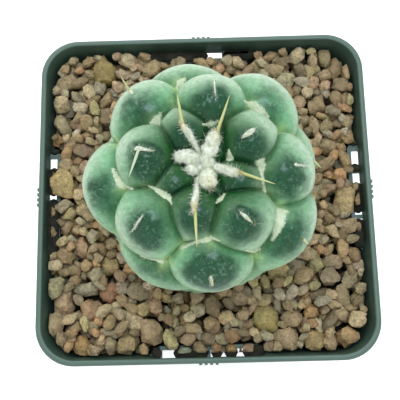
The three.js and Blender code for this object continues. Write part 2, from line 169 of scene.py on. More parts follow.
# %% Meshes and pieces
def add_mesh(name, points, sheets, material, values=None):
    """Points in millimetres and arrays of faces, each with its own number of corners, become a
    smooth mesh object. values maps an attribute's name to one number or colour for each point."""
    mesh = bpy.data.meshes.new(name)
    mesh.vertices.add(len(points))
    mesh.vertices.foreach_set("co", (np.asarray(points) * MM).astype(np.float32).ravel())
    corners = np.concatenate([sheet.ravel() for sheet in sheets]).astype(np.int32)
    sizes = np.concatenate([np.full(len(sheet), sheet.shape[1]) for sheet in sheets])
    starts = np.concatenate([[0], np.cumsum(sizes)[:-1]]).astype(np.int32)
    mesh.loops.add(len(corners))
    mesh.loops.foreach_set("vertex_index", corners)
    mesh.polygons.add(len(sizes))
    mesh.polygons.foreach_set("loop_start", starts)
    mesh.polygons.foreach_set("use_smooth", np.ones(len(sizes), bool))
    mesh.update(calc_edges=True)
    for key, value in (values or {}).items():
        value = np.asarray(value, np.float32)
        if value.ndim == 1:
            made = mesh.attributes.new(key, "FLOAT", "POINT")
            made.data.foreach_set("value", value)
        else:
            made = mesh.attributes.new(key, "FLOAT_COLOR", "POINT")
            made.data.foreach_set("color", value.ravel())
    mesh.validate()
    mesh.materials.append(material)
    piece = bpy.data.objects.new(name, mesh)
    bpy.context.scene.collection.objects.link(piece)
    print(name, len(points), "points,", len(sizes), "faces")
    return piece


def settle(piece, slot, *nodes):
    """A finished piece rides on the one body and stands for some nodes, whose imported parts it hides.
    Its slot is not used.
    """
    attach(piece, "root")
    if nodes:
        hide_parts(*nodes)


print("millimetres to a metre:", round(1 / MM))

# %% [markdown]
# A finish is a small network of nodes round one shader. One function adds a node with its settings
# and inputs. Another lays coats of colour over each other, as a painter would: each coat covers
# what is under it by its share, and the share may be a pattern.

# %% Colours and shader nodes
MIX_SHARE, MIX_FIRST, MIX_SECOND, MIXED = 0, 6, 7, 2     # sockets of a Mix node for colours


def linear(code):
    """An sRGB hex colour as the linear numbers that a shader takes."""
    channels = [int(code[i:i + 2], 16) / 255 for i in (1, 3, 5)]
    light = [c / 12.92 if c <= 0.04045 else ((c + 0.055) / 1.055) ** 2.4 for c in channels]
    return (*light, 1.0)


def fill_sockets(node, inputs):
    """Fills a node's sockets, by name or number. A socket of another node is linked, and a node
    stands for its first output. A hex colour is turned to linear, and numbers are set as given."""
    for key, value in inputs.items():
        if isinstance(value, bpy.types.Node):
            value = value.outputs[0]
        if isinstance(value, bpy.types.NodeSocket):
            node.id_data.links.new(value, node.inputs[key])
        else:
            node.inputs[key].default_value = linear(value) if isinstance(value, str) else value


def add_node(owner, kind, inputs=None, **settings):
    """Adds one node to a material or world. Its kind is the end of its type's name, after
    ShaderNode. Its settings are properties, and its inputs are sockets."""
    made = owner.node_tree.nodes.new("ShaderNode" + kind)
    for key, value in settings.items():
        setattr(made, key, value)
    fill_sockets(made, inputs or {})
    return made


def new_material(name, inputs):
    """A material with a Principled shader, whose sockets are filled by name."""
    material = bpy.data.materials.new(name)
    material.use_nodes = True
    shader = material.node_tree.nodes["Principled BSDF"]
    fill_sockets(shader, inputs)
    return material, shader


def coats(material, ground, *layers):
    """Lays coats of colour on a ground. Each is a pair of its share and its colour."""
    for share, colour in layers:
        mix = add_node(material, "Mix", {MIX_SHARE: share, MIX_FIRST: ground, MIX_SECOND: colour},
                       data_type="RGBA")
        ground = mix.outputs[MIXED]
    return ground


print("the hex grey #808080 is", round(linear("#808080")[0], 3), "of white in linear light")

# %% [markdown]
# ## The pot
#
# The real pot is injection-moulded polypropylene, dark green going to black, with a rolled lip, a
# collar, and in the middle of each side a pocket whose ledge is pierced by four slots. It could be
# a block hollowed out by cutting, but a thin wall like this is easier as one profile carried round
# a square path. All its sizes are here, in mm, with the few that change from the foot to the rim.

# %% The pot's sizes
# Half widths are from the middle to a flat side, and a recess is how far the pocket steps in.
POT = dict(height=RIM, lip=35.0, lip_inside=33.8, lip_height=2.5, collar=34.45, shoulder=34.0,
           foot=24.4, wall=0.95, floor=1.4, corner_top=8.0, corner_foot=5.0)
LEDGE = dict(top=59.1, thick=0.8, span=12.2, floor_span=10.2, inner=31.3, outer=32.1,
             foot_recess=0.8, slots=4, slot_length=4.2, rib=0.8, slot_in=32.15, slot_out=33.7)
TAB = dict(ribs=4, pitch=1.1, width=0.6, proud=0.3, sunk=0.4, height=1.8)
DRAIN = dict(radius=2.75, offset=13.0, side_radius=2.0, side_offset=17.0)
ROUNDING = dict(top=0.5, under=0.3, inside=0.35)             # radii of the lip's three edges
FOOT_EDGE = [(0.0, 0.6), (0.18, 0.25), (0.6, 0.0)]           # its heights and how far it is inset


def outer_half(z):
    """Half the outside width: a straight taper from the foot to the ledges."""
    return POT["foot"] + (POT["shoulder"] - POT["foot"]) * z / LEDGE["top"]


def corner_radius(z):
    """Corner radius at a height, from the foot's to the rim's."""
    return POT["corner_foot"] + (POT["corner_top"] - POT["corner_foot"]) * z / POT["height"]


def recess_to(deepest, z):
    """A recess at a height, from the foot's to the deepest, just under the ledge."""
    return LEDGE["foot_recess"] + (deepest - LEDGE["foot_recess"]) * z / LEDGE["top"]


def outer_recess(z):
    """How far the outside steps in."""
    return recess_to(POT["shoulder"] - LEDGE["outer"], z)


def inner_recess(z):
    """How far the inside steps in."""
    return recess_to(POT["shoulder"] - POT["wall"] - LEDGE["inner"], z)


print("half the outside width:", POT["foot"], "mm at the foot,", POT["lip"], "mm at the lip")

# %% [markdown]
# Seen from above, the pot is a square with round corners. Only the pockets break the rule: there
# the path steps in, by an amount that depends on the height. One side is worked out, and the other
# three are the same points in quarter turns.

# %% The square path
PATH_POINTS = dict(slope=4, flat=6, corner=13)       # on each stretch of a side


def square_path(half, corner, recess):
    """A square with round corners. Each side runs straight, steps in by recess between two short
    slopes, and ends in a quarter circle: (half - corner) + corner * (cos, sin)."""
    slope = np.linspace(0, 1, PATH_POINTS["slope"])
    ease = slope * slope * (3 - 2 * slope)
    rise = LEDGE["span"] - (LEDGE["span"] - LEDGE["floor_span"]) * slope
    flat = np.linspace(-LEDGE["floor_span"], LEDGE["floor_span"], PATH_POINTS["flat"])[1:-1]
    angle = np.linspace(0, math.pi / 2, PATH_POINTS["corner"])
    reach = half - corner
    x = np.concatenate([half - recess * ease, half - recess + 0 * flat,
                        half - recess * ease[::-1], reach + corner * np.cos(angle)])
    y = np.concatenate([-rise, flat, rise[::-1], reach + corner * np.sin(angle)])
    sides = [(x, y), (-y, x), (-x, -y), (y, -x)]
    return np.concatenate([np.stack(side, axis=1) for side in sides])


print("points along the path:", len(square_path(POT["foot"], POT["corner_foot"], 0.0)))

# %% [markdown]
# The profile is a list of heights, each with its half width, corner radius and recess. It runs up
# the outside, over the lip and down the inside to the floor, so that carrying it round gives one
# closed wall of the true thickness. Every edge of the lip is a small quarter circle, because a
# moulded edge that is too sharp catches no light and looks false.

# %% The pot's profile
RINGS = dict(body=12, lip_foot=4, lip_top=5, lip_inside=4, cavity=8)     # on each stretch
OVER_LEDGE = (2.4, 0.25, 0)      # how far over the ledges rings lie
UNDER_LEDGE = (0.1, 0.3)         # and how far under them, where the wall steps in


def pot_profile():
    """Rows of height, half width, corner radius and recess, from the foot over the lip to the
    floor inside. The lip's edges are quarter circles: edge + radius * (cos, sin)."""
    wall, top, ledge = POT["wall"], POT["height"], LEDGE["top"]
    over, under, inside = ROUNDING["top"], ROUNDING["under"], ROUNDING["inside"]
    ledge_foot = ledge - LEDGE["thick"]
    lip_foot = top - POT["lip_height"]
    rows = [(z, outer_half(z) - inset, corner_radius(z), outer_recess(z))
            for z, inset in FOOT_EDGE]
    rows += [(z, outer_half(z), corner_radius(z), outer_recess(z))
             for z in np.linspace(FOOT_EDGE[-1][0], ledge_foot, RINGS["body"])[1:]]
    rows.append((ledge_foot, outer_half(ledge_foot), corner_radius(ledge_foot),
                 outer_half(ledge_foot) - POT["collar"]))
    rows.append((lip_foot - under, POT["collar"], corner_radius(top), 0.0))
    rows += [(lip_foot + under + under * math.sin(angle),
              POT["lip"] - under + under * math.cos(angle), corner_radius(top), 0.0)
             for angle in np.linspace(-math.pi / 2, 0, RINGS["lip_foot"])]
    rows += [(top - over + over * math.sin(angle),
              POT["lip"] - over * (1 - math.cos(angle)), corner_radius(top), 0.0)
             for angle in np.linspace(0, math.pi / 2, RINGS["lip_top"])]
    rows += [(top - inside * (1 - math.cos(angle)),
              POT["lip_inside"] + inside - inside * math.sin(angle), corner_radius(top) - wall, 0.0)
             for angle in np.linspace(0, math.pi / 2, RINGS["lip_inside"])]
    inner = outer_half(ledge) - wall
    for rise in OVER_LEDGE:
        half = inner + (POT["lip_inside"] - inner) * rise / (top - inside - ledge)
        rows.append((ledge + rise, half, corner_radius(ledge + rise) - wall, half - POT["lip_inside"]))
    rows.append((ledge - UNDER_LEDGE[0], inner, corner_radius(ledge) - wall, inner_recess(ledge)))
    rows += [(z, outer_half(z) - wall, corner_radius(z) - wall, inner_recess(z))
             for z in np.linspace(ledge - UNDER_LEDGE[1], POT["floor"], RINGS["cavity"])]
    return rows


profile = pot_profile()
print("pot profile:", len(profile), "rings")

# %% [markdown]
# Carried round the path, each row of the profile becomes a ring of points. Rings make a tube, and
# closing its two ends to their middles makes a closed shell. A clean cut needs such shells, and
# tufts of wool and heaps of silt are made as shells too.

# %% Closed shells
def lift(path, z):
    """A level path of x and y, carried up to a height."""
    return np.column_stack([path, np.full(len(path), z)])


def closed_shell(rings):
    """Rings of points on one skin, with the first and the last ring closed to their middles."""
    count = len(rings[0])
    points = np.concatenate([*rings, rings[0].mean(0)[None], rings[-1].mean(0)[None]])
    quads = grid_faces(len(rings), count)
    here = np.arange(count)
    following = (here + 1) % count
    first, last = len(points) - 2, len(points) - 1
    end = (len(rings) - 1) * count
    caps = np.concatenate([
        np.stack([here * 0 + first, following, here], axis=1),
        np.stack([here * 0 + last, end + here, end + following], axis=1),
    ])
    return points, quads, caps


pot_rings = [lift(square_path(half, corner, recess), z) for z, half, corner, recess in profile]
shell = [closed_shell(pot_rings)]
print("the pot's wall:", len(pot_rings), "rings of", len(pot_rings[0]), "points")

# %% [markdown]
# The slots and the drainage holes are pierced by pins in the mould, and their shapes are boxes and
# short columns. The pot is alike on its four sides, so each is made once and turned to the other
# three.

# %% Boxes, columns and rows
BOX_FACES = np.array([[0, 3, 2, 1], [4, 5, 6, 7], [0, 1, 5, 4], [1, 2, 6, 5], [2, 3, 7, 6],
                      [3, 0, 4, 7]])


def box_points(low, high):
    """The eight corners of a box: each of low or high along x, y and z."""
    low, high = np.asarray(low, float), np.asarray(high, float)
    pick = np.array([[0, 0, 0], [1, 0, 0], [1, 1, 0], [0, 1, 0],
                     [0, 0, 1], [1, 0, 1], [1, 1, 1], [0, 1, 1]])
    return low + pick * (high - low)


def column(radius, x, y, low, high, sides=24):
    """A closed column: a circle of radius carried from low to high. The circle is turned by half
    a step, so that no corner of it lies on a line of the pot's floor."""
    angle = (np.arange(sides) + 0.5) * 2 * math.pi / sides
    circle = np.column_stack([x + radius * np.cos(angle), y + radius * np.sin(angle)])
    return closed_shell([lift(circle, low), lift(circle, high)])


def on_four_sides(points, *sheets):
    """A closed mesh on all four sides of the pot: (x, y) becomes (-y, x), and so on."""
    x, y, z = np.asarray(points).T
    sides = [(x, y, z), (-y, x, z), (-x, -y, z), (y, -x, z)]
    return [(np.column_stack(side), *sheets) for side in sides]


def stacked(parts):
    """Joins (points, faces, faces, ...) of several closed shells into one set of arrays."""
    points = np.concatenate([part[0] for part in parts])
    starts = np.cumsum([0] + [len(part[0]) for part in parts[:-1]])
    sheets = [sheet + start for part, start in zip(parts, starts) for sheet in part[1:]]
    return points, sheets


def in_a_row(count, pitch):
    """The middles of things that stand a pitch apart, with the row centred on 0."""
    return (np.arange(count) - (count - 1) / 2) * pitch


print("middles of a side's slots:", in_a_row(LEDGE["slots"], LEDGE["slot_length"] + LEDGE["rib"]))

# %% [markdown]
# All holes are cut at once and last, by one cutter mesh that reaches past the wall on both sides.
# On the rim, each side has a tab of four short ribs. They are boxes sunk into the lip, and the cut
# joins them to it.

# %% Slots, drainage holes and ribs
PAST = 2.0                       # how far a cutter reaches past the wall that it cuts

cutters = []
half = LEDGE["slot_length"] / 2
for middle in in_a_row(LEDGE["slots"], LEDGE["slot_length"] + LEDGE["rib"]):
    slot = box_points((LEDGE["slot_in"], middle - half, LEDGE["top"] - PAST),
                      (LEDGE["slot_out"], middle + half, LEDGE["top"] + PAST / 2))
    cutters += on_four_sides(slot, BOX_FACES)
for radius, x, y in ((DRAIN["radius"], DRAIN["offset"], DRAIN["offset"]),
                     (DRAIN["side_radius"], DRAIN["side_offset"], 0.0)):
    cutters += on_four_sides(*column(radius, x, y, -PAST, POT["floor"] + PAST))

tab_middle = POT["height"] - POT["lip_height"] / 2
for middle in in_a_row(TAB["ribs"], TAB["pitch"]):
    rib = box_points((POT["lip"] - TAB["sunk"], middle - TAB["width"] / 2,
                      tab_middle - TAB["height"] / 2),
                     (POT["lip"] + TAB["proud"], middle + TAB["width"] / 2,
                      tab_middle + TAB["height"] / 2))
    shell += on_four_sides(rib, BOX_FACES)
print("cutters:", len(cutters), "ribs:", len(shell) - 1)

# %% [markdown]
# Polypropylene leaves its mould with a satin skin: a fine grain, faint streaks where the melt ran,
# and here some pale dust from the grit. Its green-black is close to even, so the eye reads it by
# its soft highlights. The streaks are 3 mm apart and run down the walls. The real grain is finer
# than 0.1 mm, which wouldn't show, so it is drawn at 0.25 mm. The level faces are painted paler, as
# painted light from above, and this makes the lip paler than the walls.

# %% Satin polypropylene
pot_plastic, pot_shader = new_material("satin_polypropylene", {"IOR": 1.49})
place = add_node(pot_plastic, "TexCoord").outputs["Object"]
drawn_down = add_node(pot_plastic, "Mapping", {"Vector": place, "Scale": (1.0, 1.0, 0.12)})
streaks = add_node(pot_plastic, "TexNoise", {"Vector": drawn_down, "Scale": 1 / (3 * MM), "Detail": 3.0})
dust = add_node(pot_plastic, "TexNoise",
                {"Vector": place, "Scale": 1 / (5 * MM), "Detail": 6.0, "Roughness": 0.7})
dusty = add_node(pot_plastic, "MapRange",
                 {"Value": dust, "From Min": 0.55, "From Max": 0.9, "To Max": 0.15})
facing = add_node(pot_plastic, "NewGeometry").outputs["Normal"]
facing_up = add_node(pot_plastic, "SeparateXYZ", {0: facing}).outputs["Z"]
# Painted top light: faces that point up are painted a paler green.
level = add_node(pot_plastic, "MapRange", {"Value": facing_up, "From Min": 0.2, "From Max": 0.9})
satin = add_node(pot_plastic, "MapRange", {"Value": streaks, "To Min": 0.34, "To Max": 0.52})
grain = add_node(pot_plastic, "TexNoise", {"Vector": place, "Scale": 1 / (0.25 * MM), "Detail": 2.0})
grained = add_node(pot_plastic, "Bump", {"Height": grain, "Strength": 0.12, "Distance": 0.1 * MM})
green_black = coats(pot_plastic, "#2d4238", (streaks, "#40574c"), (level, "#4f665a"), (dusty, "#8d9a86"))
fill_sockets(pot_shader, {"Base Color": green_black, "Roughness": satin, "Normal": grained})
print("nodes of the satin plastic:", len(pot_plastic.node_tree.nodes))

# %% [markdown]
# The cut is a Boolean modifier whose result is kept as a plain mesh, so that no cutter has to stay
# in the scene. A Boolean can leave points that lie almost on each other, and faces between them
# with no area. They are welded, and the count of open edges shows that the wall is still closed.

# %% The pot, cut and welded
WELD = 0.002 * MM                # points closer than this become one
CRISP = math.radians(32)         # faces that meet at more than this show an edge

points, sheets = stacked(shell)
pot = add_mesh("nursery_pot", points, sheets, pot_plastic)
points, sheets = stacked(cutters)
cutter = add_mesh("cutter", points, sheets, pot_plastic)
cut = pot.modifiers.new("holes", "BOOLEAN")
cut.operation = "DIFFERENCE"
cut.object = cutter
cut.solver = "EXACT"
cut.use_self = True
evaluated = pot.evaluated_get(bpy.context.evaluated_depsgraph_get())
finished = bpy.data.meshes.new_from_object(evaluated)
pot.modifiers.clear()
bpy.data.objects.remove(cutter)

shape = bmesh.new()
shape.from_mesh(finished)
bmesh.ops.remove_doubles(shape, verts=shape.verts, dist=WELD)
bmesh.ops.dissolve_degenerate(shape, edges=shape.edges, dist=WELD)
print("open edges of the pot:", sum(not edge.is_manifold for edge in shape.edges))
shape.to_mesh(finished)
shape.free()
pot.data = finished
finished.set_sharp_from_angle(angle=CRISP)
settle(pot, "pot_plastic", "pot")
print("pot faces after cutting:", len(finished.polygons))

# %% [markdown]
# ## The cactus
#
# The stem is one skin over fat tubercles that grow on a spiral, one every 137.5 degrees. Each is
# an ellipsoid whose place and size change smoothly with its age, counted in tubercles from the
# crown. They could be placed by hand, but growth has a rule, and a table of eight ages holds it.

# %% How a tubercle grows
CROWN = (0.2, -0.7)                      # where the spiral's axis stands
SPIRAL_START = 147.5
GOLDEN_ANGLE = 137.5
TUBERCLES = 32
AGES = np.array([0, 4, 8, 12, 15, 18, 22, 31.0])
# The radius and the height over the rim place a tubercle's middle, lean is how far its outward
# axis rises over level in degrees, and the last three are its half sizes.
GROWTH = dict(
    radius=[4.4, 6.7, 9.9, 12.5, 13.2, 12.3, 11.1, 11.0],
    height=[19.2, 19.4, 19.0, 16.4, 13.8, 12.0, 6.3, -6.5],
    lean=[89, 90, 83, 59, 45, 38, 25, 5],
    wide=[5.4, 6.4, 7.7, 8.8, 9.7, 10.9, 10.4, 10.0],
    tall=[5.3, 6.1, 6.7, 7.5, 7.3, 8.0, 8.1, 8.2],
    deep=[5.5, 6.4, 8.1, 9.5, 11.0, 11.6, 9.7, 9.5],
)


def measure(name, age):
    """A smooth curve through a measure's values at the ages: a cubic between each two, whose
    slope at an age is that of the line between its neighbours."""
    value = np.array(GROWTH[name], float)
    low = np.maximum(np.arange(len(AGES)) - 1, 0)
    high = np.minimum(np.arange(len(AGES)) + 1, len(AGES) - 1)
    slope = (value[high] - value[low]) / (AGES[high] - AGES[low])
    i = np.clip(np.searchsorted(AGES, age, side="right") - 1, 0, len(AGES) - 2)
    span = AGES[i + 1] - AGES[i]
    t = (age - AGES[i]) / span
    return (value[i] + (value[i + 1] - value[i]) * t * t * (3 - 2 * t)
            + t * (1 - t) ** 2 * span * slope[i] + t * t * (t - 1) * span * slope[i + 1])


age = np.arange(TUBERCLES, dtype=float)
print("widths of the tubercles:", (2 * measure("wide", age)).round(1))

# %% [markdown]
# The real plant strays a little from the even spiral, and some tubercles here stray with it, so
# that they meet where they should. A core fills the stem behind them, and a root its foot.

# %% All tubercles
STRAY_TURN = {0: 6, 3: 3, 5: 2, 6: 5, 9: -2, 11: 3, 13: -3, 16: -2, 17: -1}     # degrees round
STRAY_OUT = {8: 0.3, 12: -0.3, 13: 0.3, 14: -0.2, 20: 0.3}                      # mm outwards
MIDDLE = np.array([*CROWN, 71.0])        # of the whole stem
CORE = dict(centre=MIDDLE, sizes=(14.5, 14.5, 11.5))
ROOT = dict(centre=(0, 0, 57.2), sizes=(15.8, 15.8, 13.0))


def direction(heading, rise):
    """Unit vectors from headings, counted from +x to +y, and rises over level, in degrees."""
    heading, rise = np.radians(heading), np.radians(rise)
    return np.stack([np.cos(rise) * np.cos(heading), np.cos(rise) * np.sin(heading),
                     np.sin(rise) + 0 * heading], axis=-1)


def each_one(stray, usual=0):
    """A list with one number for each tubercle: the usual one, or the one that it strays to."""
    return [stray.get(i, usual) for i in range(TUBERCLES)]


heading = SPIRAL_START + GOLDEN_ANGLE * age + each_one(STRAY_TURN)
radius = measure("radius", age) + each_one(STRAY_OUT)
outward = direction(heading, measure("lean", age))
across = direction(heading + 90, 0 * age)
along = np.cross(outward, across)
centres = direction(heading, 0 * age) * radius[:, None]
centres += np.column_stack([CROWN[0] + 0 * age, CROWN[1] + 0 * age, RIM + measure("height", age)])
frames = np.stack([across, along, outward], axis=1)
sizes = np.stack([measure(name, age) for name in ("wide", "tall", "deep")], axis=1)

body_centres = np.concatenate([centres, [CORE["centre"], ROOT["centre"]]])
body_frames = np.concatenate([frames, [np.eye(3), np.eye(3)]])
body_sizes = np.concatenate([sizes, [CORE["sizes"], ROOT["sizes"]]])
print("tubercles:", TUBERCLES, "with middles up to", radius.max().round(1), "mm off the axis")

# %% [markdown]
# Everything on the plant is found by straight lines that meet these ellipsoids. A line from the
# stem's middle finds the skin from inside, and a line of sight finds it from the camera, which
# tells where on the plant a pixel lies.

# %% Lines that meet the tubercles
def crossings(origin, ways):
    """Where lines meet each ellipsoid: the two roots of |frame (origin + t way - centre) / size|
    = 1. Returns both, with nan where a line misses."""
    start = np.einsum("nij,nj->ni", body_frames, origin - body_centres) / body_sizes
    way = np.einsum("nij,pj->pni", body_frames, ways) / body_sizes
    a = (way ** 2).sum(-1)
    b = (way * start).sum(-1)
    c = (start ** 2).sum(-1) - 1
    with np.errstate(invalid="ignore"):
        root = np.sqrt(b * b - a * c)
    return (-b - root) / a, (-b + root) / a


def local_place(points, owner):
    """Where points lie in their tubercle's own frame, as shares of its half sizes."""
    away = points - body_centres[owner]
    return np.einsum("pij,pj->pi", body_frames[owner], away) / body_sizes[owner]


def on_skin(pixels):
    """The first point of the skin along each line of sight, and the skin's normal there."""
    ways = sight(pixels)
    near, _ = crossings(EYE, ways)
    near = np.where(np.isnan(near), np.inf, near)
    owner = near.argmin(axis=1)
    points = EYE + ways * near.min(axis=1)[:, None]
    normal = local_place(points, owner) / body_sizes[owner]
    normal = np.einsum("pi,pij->pj", normal, body_frames[owner])
    return points, unit_vectors(normal)


print("the picture's middle lies on the skin at", on_skin((PICTURE / 2, PICTURE / 2))[0][0].round(1))

# %% [markdown]
# The skin could be a union of thirty-two balls, but the creases of a union are jagged. Here it is
# one ball grid round the stem's middle. A line drawn out through each of its points leaves the
# ellipsoids one by one, and where it leaves the last is the skin. So every crease comes by itself
# where two tubercles meet, and only needs to be softened a little.

# %% The skin
SKIN_CELLS = 126                 # along each side of the six grids
CROWDED_UP = 0.3                 # shifts the grid's points towards the crown, which shows most
SOFTNESS = 0.1                   # how widely two tubercles blend, in mm
HALVINGS = 24                    # of an interval, until its end is found
# The foot's outline in the grit, as rows of radius and height.
FOOT = np.array([[9, 44], [13.5, 49], [17.2, 57], [19.6, 60.2], [26, 66], [40, 72], [40, 120.0]])


def foot_reach(ways, far):
    """How far lines go before they leave the foot's outline, found by halving an interval."""
    low, high = np.zeros(len(ways)), far.copy()
    for _ in range(HALVINGS):
        t = (low + high) / 2
        points = MIDDLE + ways * t[:, None]
        widest = np.interp(points[:, 2], FOOT[:, 1], FOOT[:, 0])
        outside = np.hypot(points[:, 0], points[:, 1]) > widest
        high = np.where(outside, t, high)
        low = np.where(outside, low, t)
    return high


ways, skin_faces = ball_grid(SKIN_CELLS)
ways = unit_vectors(ways + [0, 0, CROWDED_UP])
_, far = crossings(MIDDLE, ways)
far = np.where(np.isnan(far), 0, far)
order = np.sort(far, axis=1)
owner = far.argmax(axis=1)
# A soft maximum: the logarithm of a sum of exponentials.
reach = SOFTNESS * np.log(np.exp((far - order[:, -1:]) / SOFTNESS).sum(axis=1)) + order[:, -1]
reach = np.minimum(reach, foot_reach(ways, reach))
skin = MIDDLE + ways * reach[:, None]
gap = order[:, -1] - order[:, -2]            # small in a crease, where two ellipsoids meet
corner_gap = order[:, -1] - order[:, -3]     # small in a corner, where three meet
print("skin reaches", round(float(reach.max()), 1), "mm, height", np.round(skin[:, 2].min(), 1),
      "to", np.round(skin[:, 2].max(), 1))

# %% [markdown]
# In the corners between tubercles lies old wool, matted to felt. It could be thousands of hairs,
# but from a step away it is a pale, ragged stain that fills the groove. So the felt is a number on
# the skin's points, which fills the crease and later colours it. Each dab follows a line of
# pixels, with its widths in pixels at even steps along it. The few loose hairs come later.

# %% Dabs of felt
AXIL_WOOL = {
    "upper left": dict(line=[(150, 122), (156, 120), (160, 113)], width=[1, 8, 1], hairs=50),
    "top": dict(line=[(203, 124), (211, 123), (218, 121.5)], width=[1, 5, 1], hairs=50),
    "upper right": dict(line=[(245, 101), (254, 104.5), (262, 110), (269, 116)],
                        width=[1, 7, 6, 1], hairs=40),
    "by the crown": dict(line=[(230.5, 159.5), (230, 156), (229, 150)], width=[9, 6, 1], hairs=40),
    "right": dict(line=[(261, 160), (262, 166), (262.5, 175), (266, 192)],
                  width=[11, 5, 2, 1.5], hairs=70),
    "left": dict(line=[(149, 186.5), (160, 192), (168, 197.5), (171, 204)], width=[1, 6, 8, 1], hairs=60),
    "far left": dict(line=[(112, 169), (115.5, 177), (120, 184), (131, 189)],
                     width=[1, 5, 9, 1], hairs=60),
    "front": dict(line=[(181, 248.5), (195, 243), (211, 238.5), (219, 241)],
                  width=[1, 2.5, 7, 1], hairs=70),
    "low right": dict(line=[(282, 210.5), (281, 216), (280, 223), (278, 231), (273, 240)],
                      width=[13, 12, 9, 5.5, 1], hairs=70),
    "low left": dict(line=[(141, 256.5), (152, 260), (162, 262)], width=[1, 3, 5], hairs=40),
    "top left": dict(line=[(176, 86), (180, 82), (185, 78)], width=[1, 7, 2], hairs=50),
    "under the crown": dict(line=[(217, 203), (220.5, 199.5), (224.5, 194.5)],
                            width=[2, 6, 1.5], hairs=40),
    "low front": dict(line=[(247, 251), (254, 252.5), (260, 250)], width=[1, 3, 1], hairs=20),
}
print("dabs of felt:", len(AXIL_WOOL))

# %% [markdown]
# Felt and wool both lie along lines on the skin. In the corners and on the crown a line follows
# pixels. An areole that the picture doesn't show follows its slit, which runs over the tubercle
# from tip to crown, and whose place depends on the tubercle's age.

# %% Lines on the skin
# How far an areole lies from its tubercle's tip, in degrees: towards the crown on a young one,
# outwards on an older one, and just under level on the oldest.
SLIT_TURN = dict(per_age=2.4, even=12, most=14, oldest_upward=14, below_level=8)
STRAY_SLIT = {17: -12}

slit_turn = SLIT_TURN["per_age"] * (SLIT_TURN["even"] - age)
slit_turn = np.clip(slit_turn, -SLIT_TURN["most"], SLIT_TURN["most"])
slit_turn = np.where(age > SLIT_TURN["oldest_upward"],
                     -measure("lean", age) - SLIT_TURN["below_level"], slit_turn)
slit_turn = np.radians([STRAY_SLIT.get(i, slit_turn[i]) for i in range(TUBERCLES)])


def along_line(line, share):
    """Points at shares of the way along a broken line."""
    line = np.asarray(line, float)
    steps = np.concatenate([[0], np.cumsum(np.linalg.norm(np.diff(line, axis=0), axis=1))])
    return np.column_stack([np.interp(share, steps / steps[-1], line[:, i]) for i in range(2)])


def slit_arc(number, half_length, stations):
    """The slit of a tubercle, followed over its ellipsoid: centre + along * tall * sin(a)
    + outward * deep * cos(a), and the ellipsoid's normals there."""
    _, tall, deep = sizes[number]
    angle = (slit_turn[number] + half_length / tall * np.linspace(-1, 1, stations))[:, None]
    path = centres[number] + along[number] * tall * np.sin(angle)
    path += outward[number] * deep * np.cos(angle)
    normal = along[number] * np.sin(angle) / tall + outward[number] * np.cos(angle) / deep
    return path, unit_vectors(normal)


def laid_line(tuft, stations):
    """A tuft's line on the skin: its points, the normals there and half its width, all in mm. It
    follows either a line of pixels or the slit of the tubercle that it is on."""
    share = np.linspace(0, 1, stations)
    width = np.interp(share, np.linspace(0, 1, len(tuft["width"])), tuft["width"])
    if "on" in tuft:
        path, normal = slit_arc(tuft["on"], tuft["half_length"], stations)
        return share, path, normal, 0.5 * width
    path, normal = on_skin(along_line(tuft["line"], share))
    pixel = np.linalg.norm(path - EYE, axis=1) / FOCAL_PIXELS
    return share, path, normal, 0.5 * width * pixel


print("width of the left dab:", round(2 * laid_line(AXIL_WOOL["left"], 9)[3].max(), 1), "mm")

# %% [markdown]
# A skin point is under felt when it lies near enough to a dab's line. The dab's edge fades, so
# that the finish can break it up later.

# %% Felt in the corners
FELT_STATIONS = 40               # points along a dab's line
FELT_EDGE = 1.5                  # half widths from the line to the end of the fading edge
FELT_END = 0.3                   # mm over which a dab ends
THINNEST = 0.22                  # mm, the least half width of a dab
FARTHEST = 8.0                   # mm from a dab's middle to the points it may cover
SHALLOW = dict(share=0.45, gap=1.8)      # felt left on open skin, and how deep it gathers


def felt_share(tufts):
    """How much felt covers each skin point: FELT_EDGE less its distance to the nearest point of
    a tuft's line, kept between 0 and 1. Across the line the distance is in half widths and along
    it in steps of FELT_END, so that a tuft ends squarely. The largest over all tufts counts, and
    felt is thinner where the groove is shallow."""
    cover = np.zeros(len(skin))
    for tuft in tufts.values():
        _, path, _, half = laid_line(tuft, FELT_STATIONS)
        forward = unit_vectors(np.gradient(path, axis=0))
        near = np.flatnonzero(np.linalg.norm(skin - path.mean(axis=0), axis=1) < FARTHEST)
        away = skin[near][:, None] - path[None]
        beyond = (away * forward[None]).sum(axis=2)
        beside = np.sqrt(np.maximum((away ** 2).sum(axis=2) - beyond ** 2, 0))
        away = np.hypot(beside / np.maximum(half, THINNEST), beyond / FELT_END)
        cover[near] = np.maximum(cover[near], np.clip(FELT_EDGE - away.min(axis=1), 0, 1))
    deep = np.exp(-(gap / SHALLOW["gap"]) ** 2)
    return cover * (SHALLOW["share"] + (1 - SHALLOW["share"]) * deep)


felt = felt_share(AXIL_WOOL)
print("felt covers", round(float((felt > 0.5).mean() * 100), 1), "% of the skin's points")

# %% [markdown]
# An old tubercle keeps its areole as a narrow slit near the tip, in a shallow dent with a swollen
# brim. Creases are drawn in along the lines where tubercles meet. Two tubercles have shrunk a
# little and fold over their areoles, and the whole skin is slightly uneven. All of this moves the
# points in or out along their own lines, so the skin can't cross itself.

# %% Dents, creases and wrinkles
WRINKLES = {
    "over the left areole": [(134, 145), (138, 142.8), (144, 142.5), (151, 145), (158, 148.5),
                             (161.5, 154)],
    "over the right areole": [(240, 207.5), (246, 209), (251.5, 212.5), (256, 217.5)],
}
YOUNGEST_DENT = 7
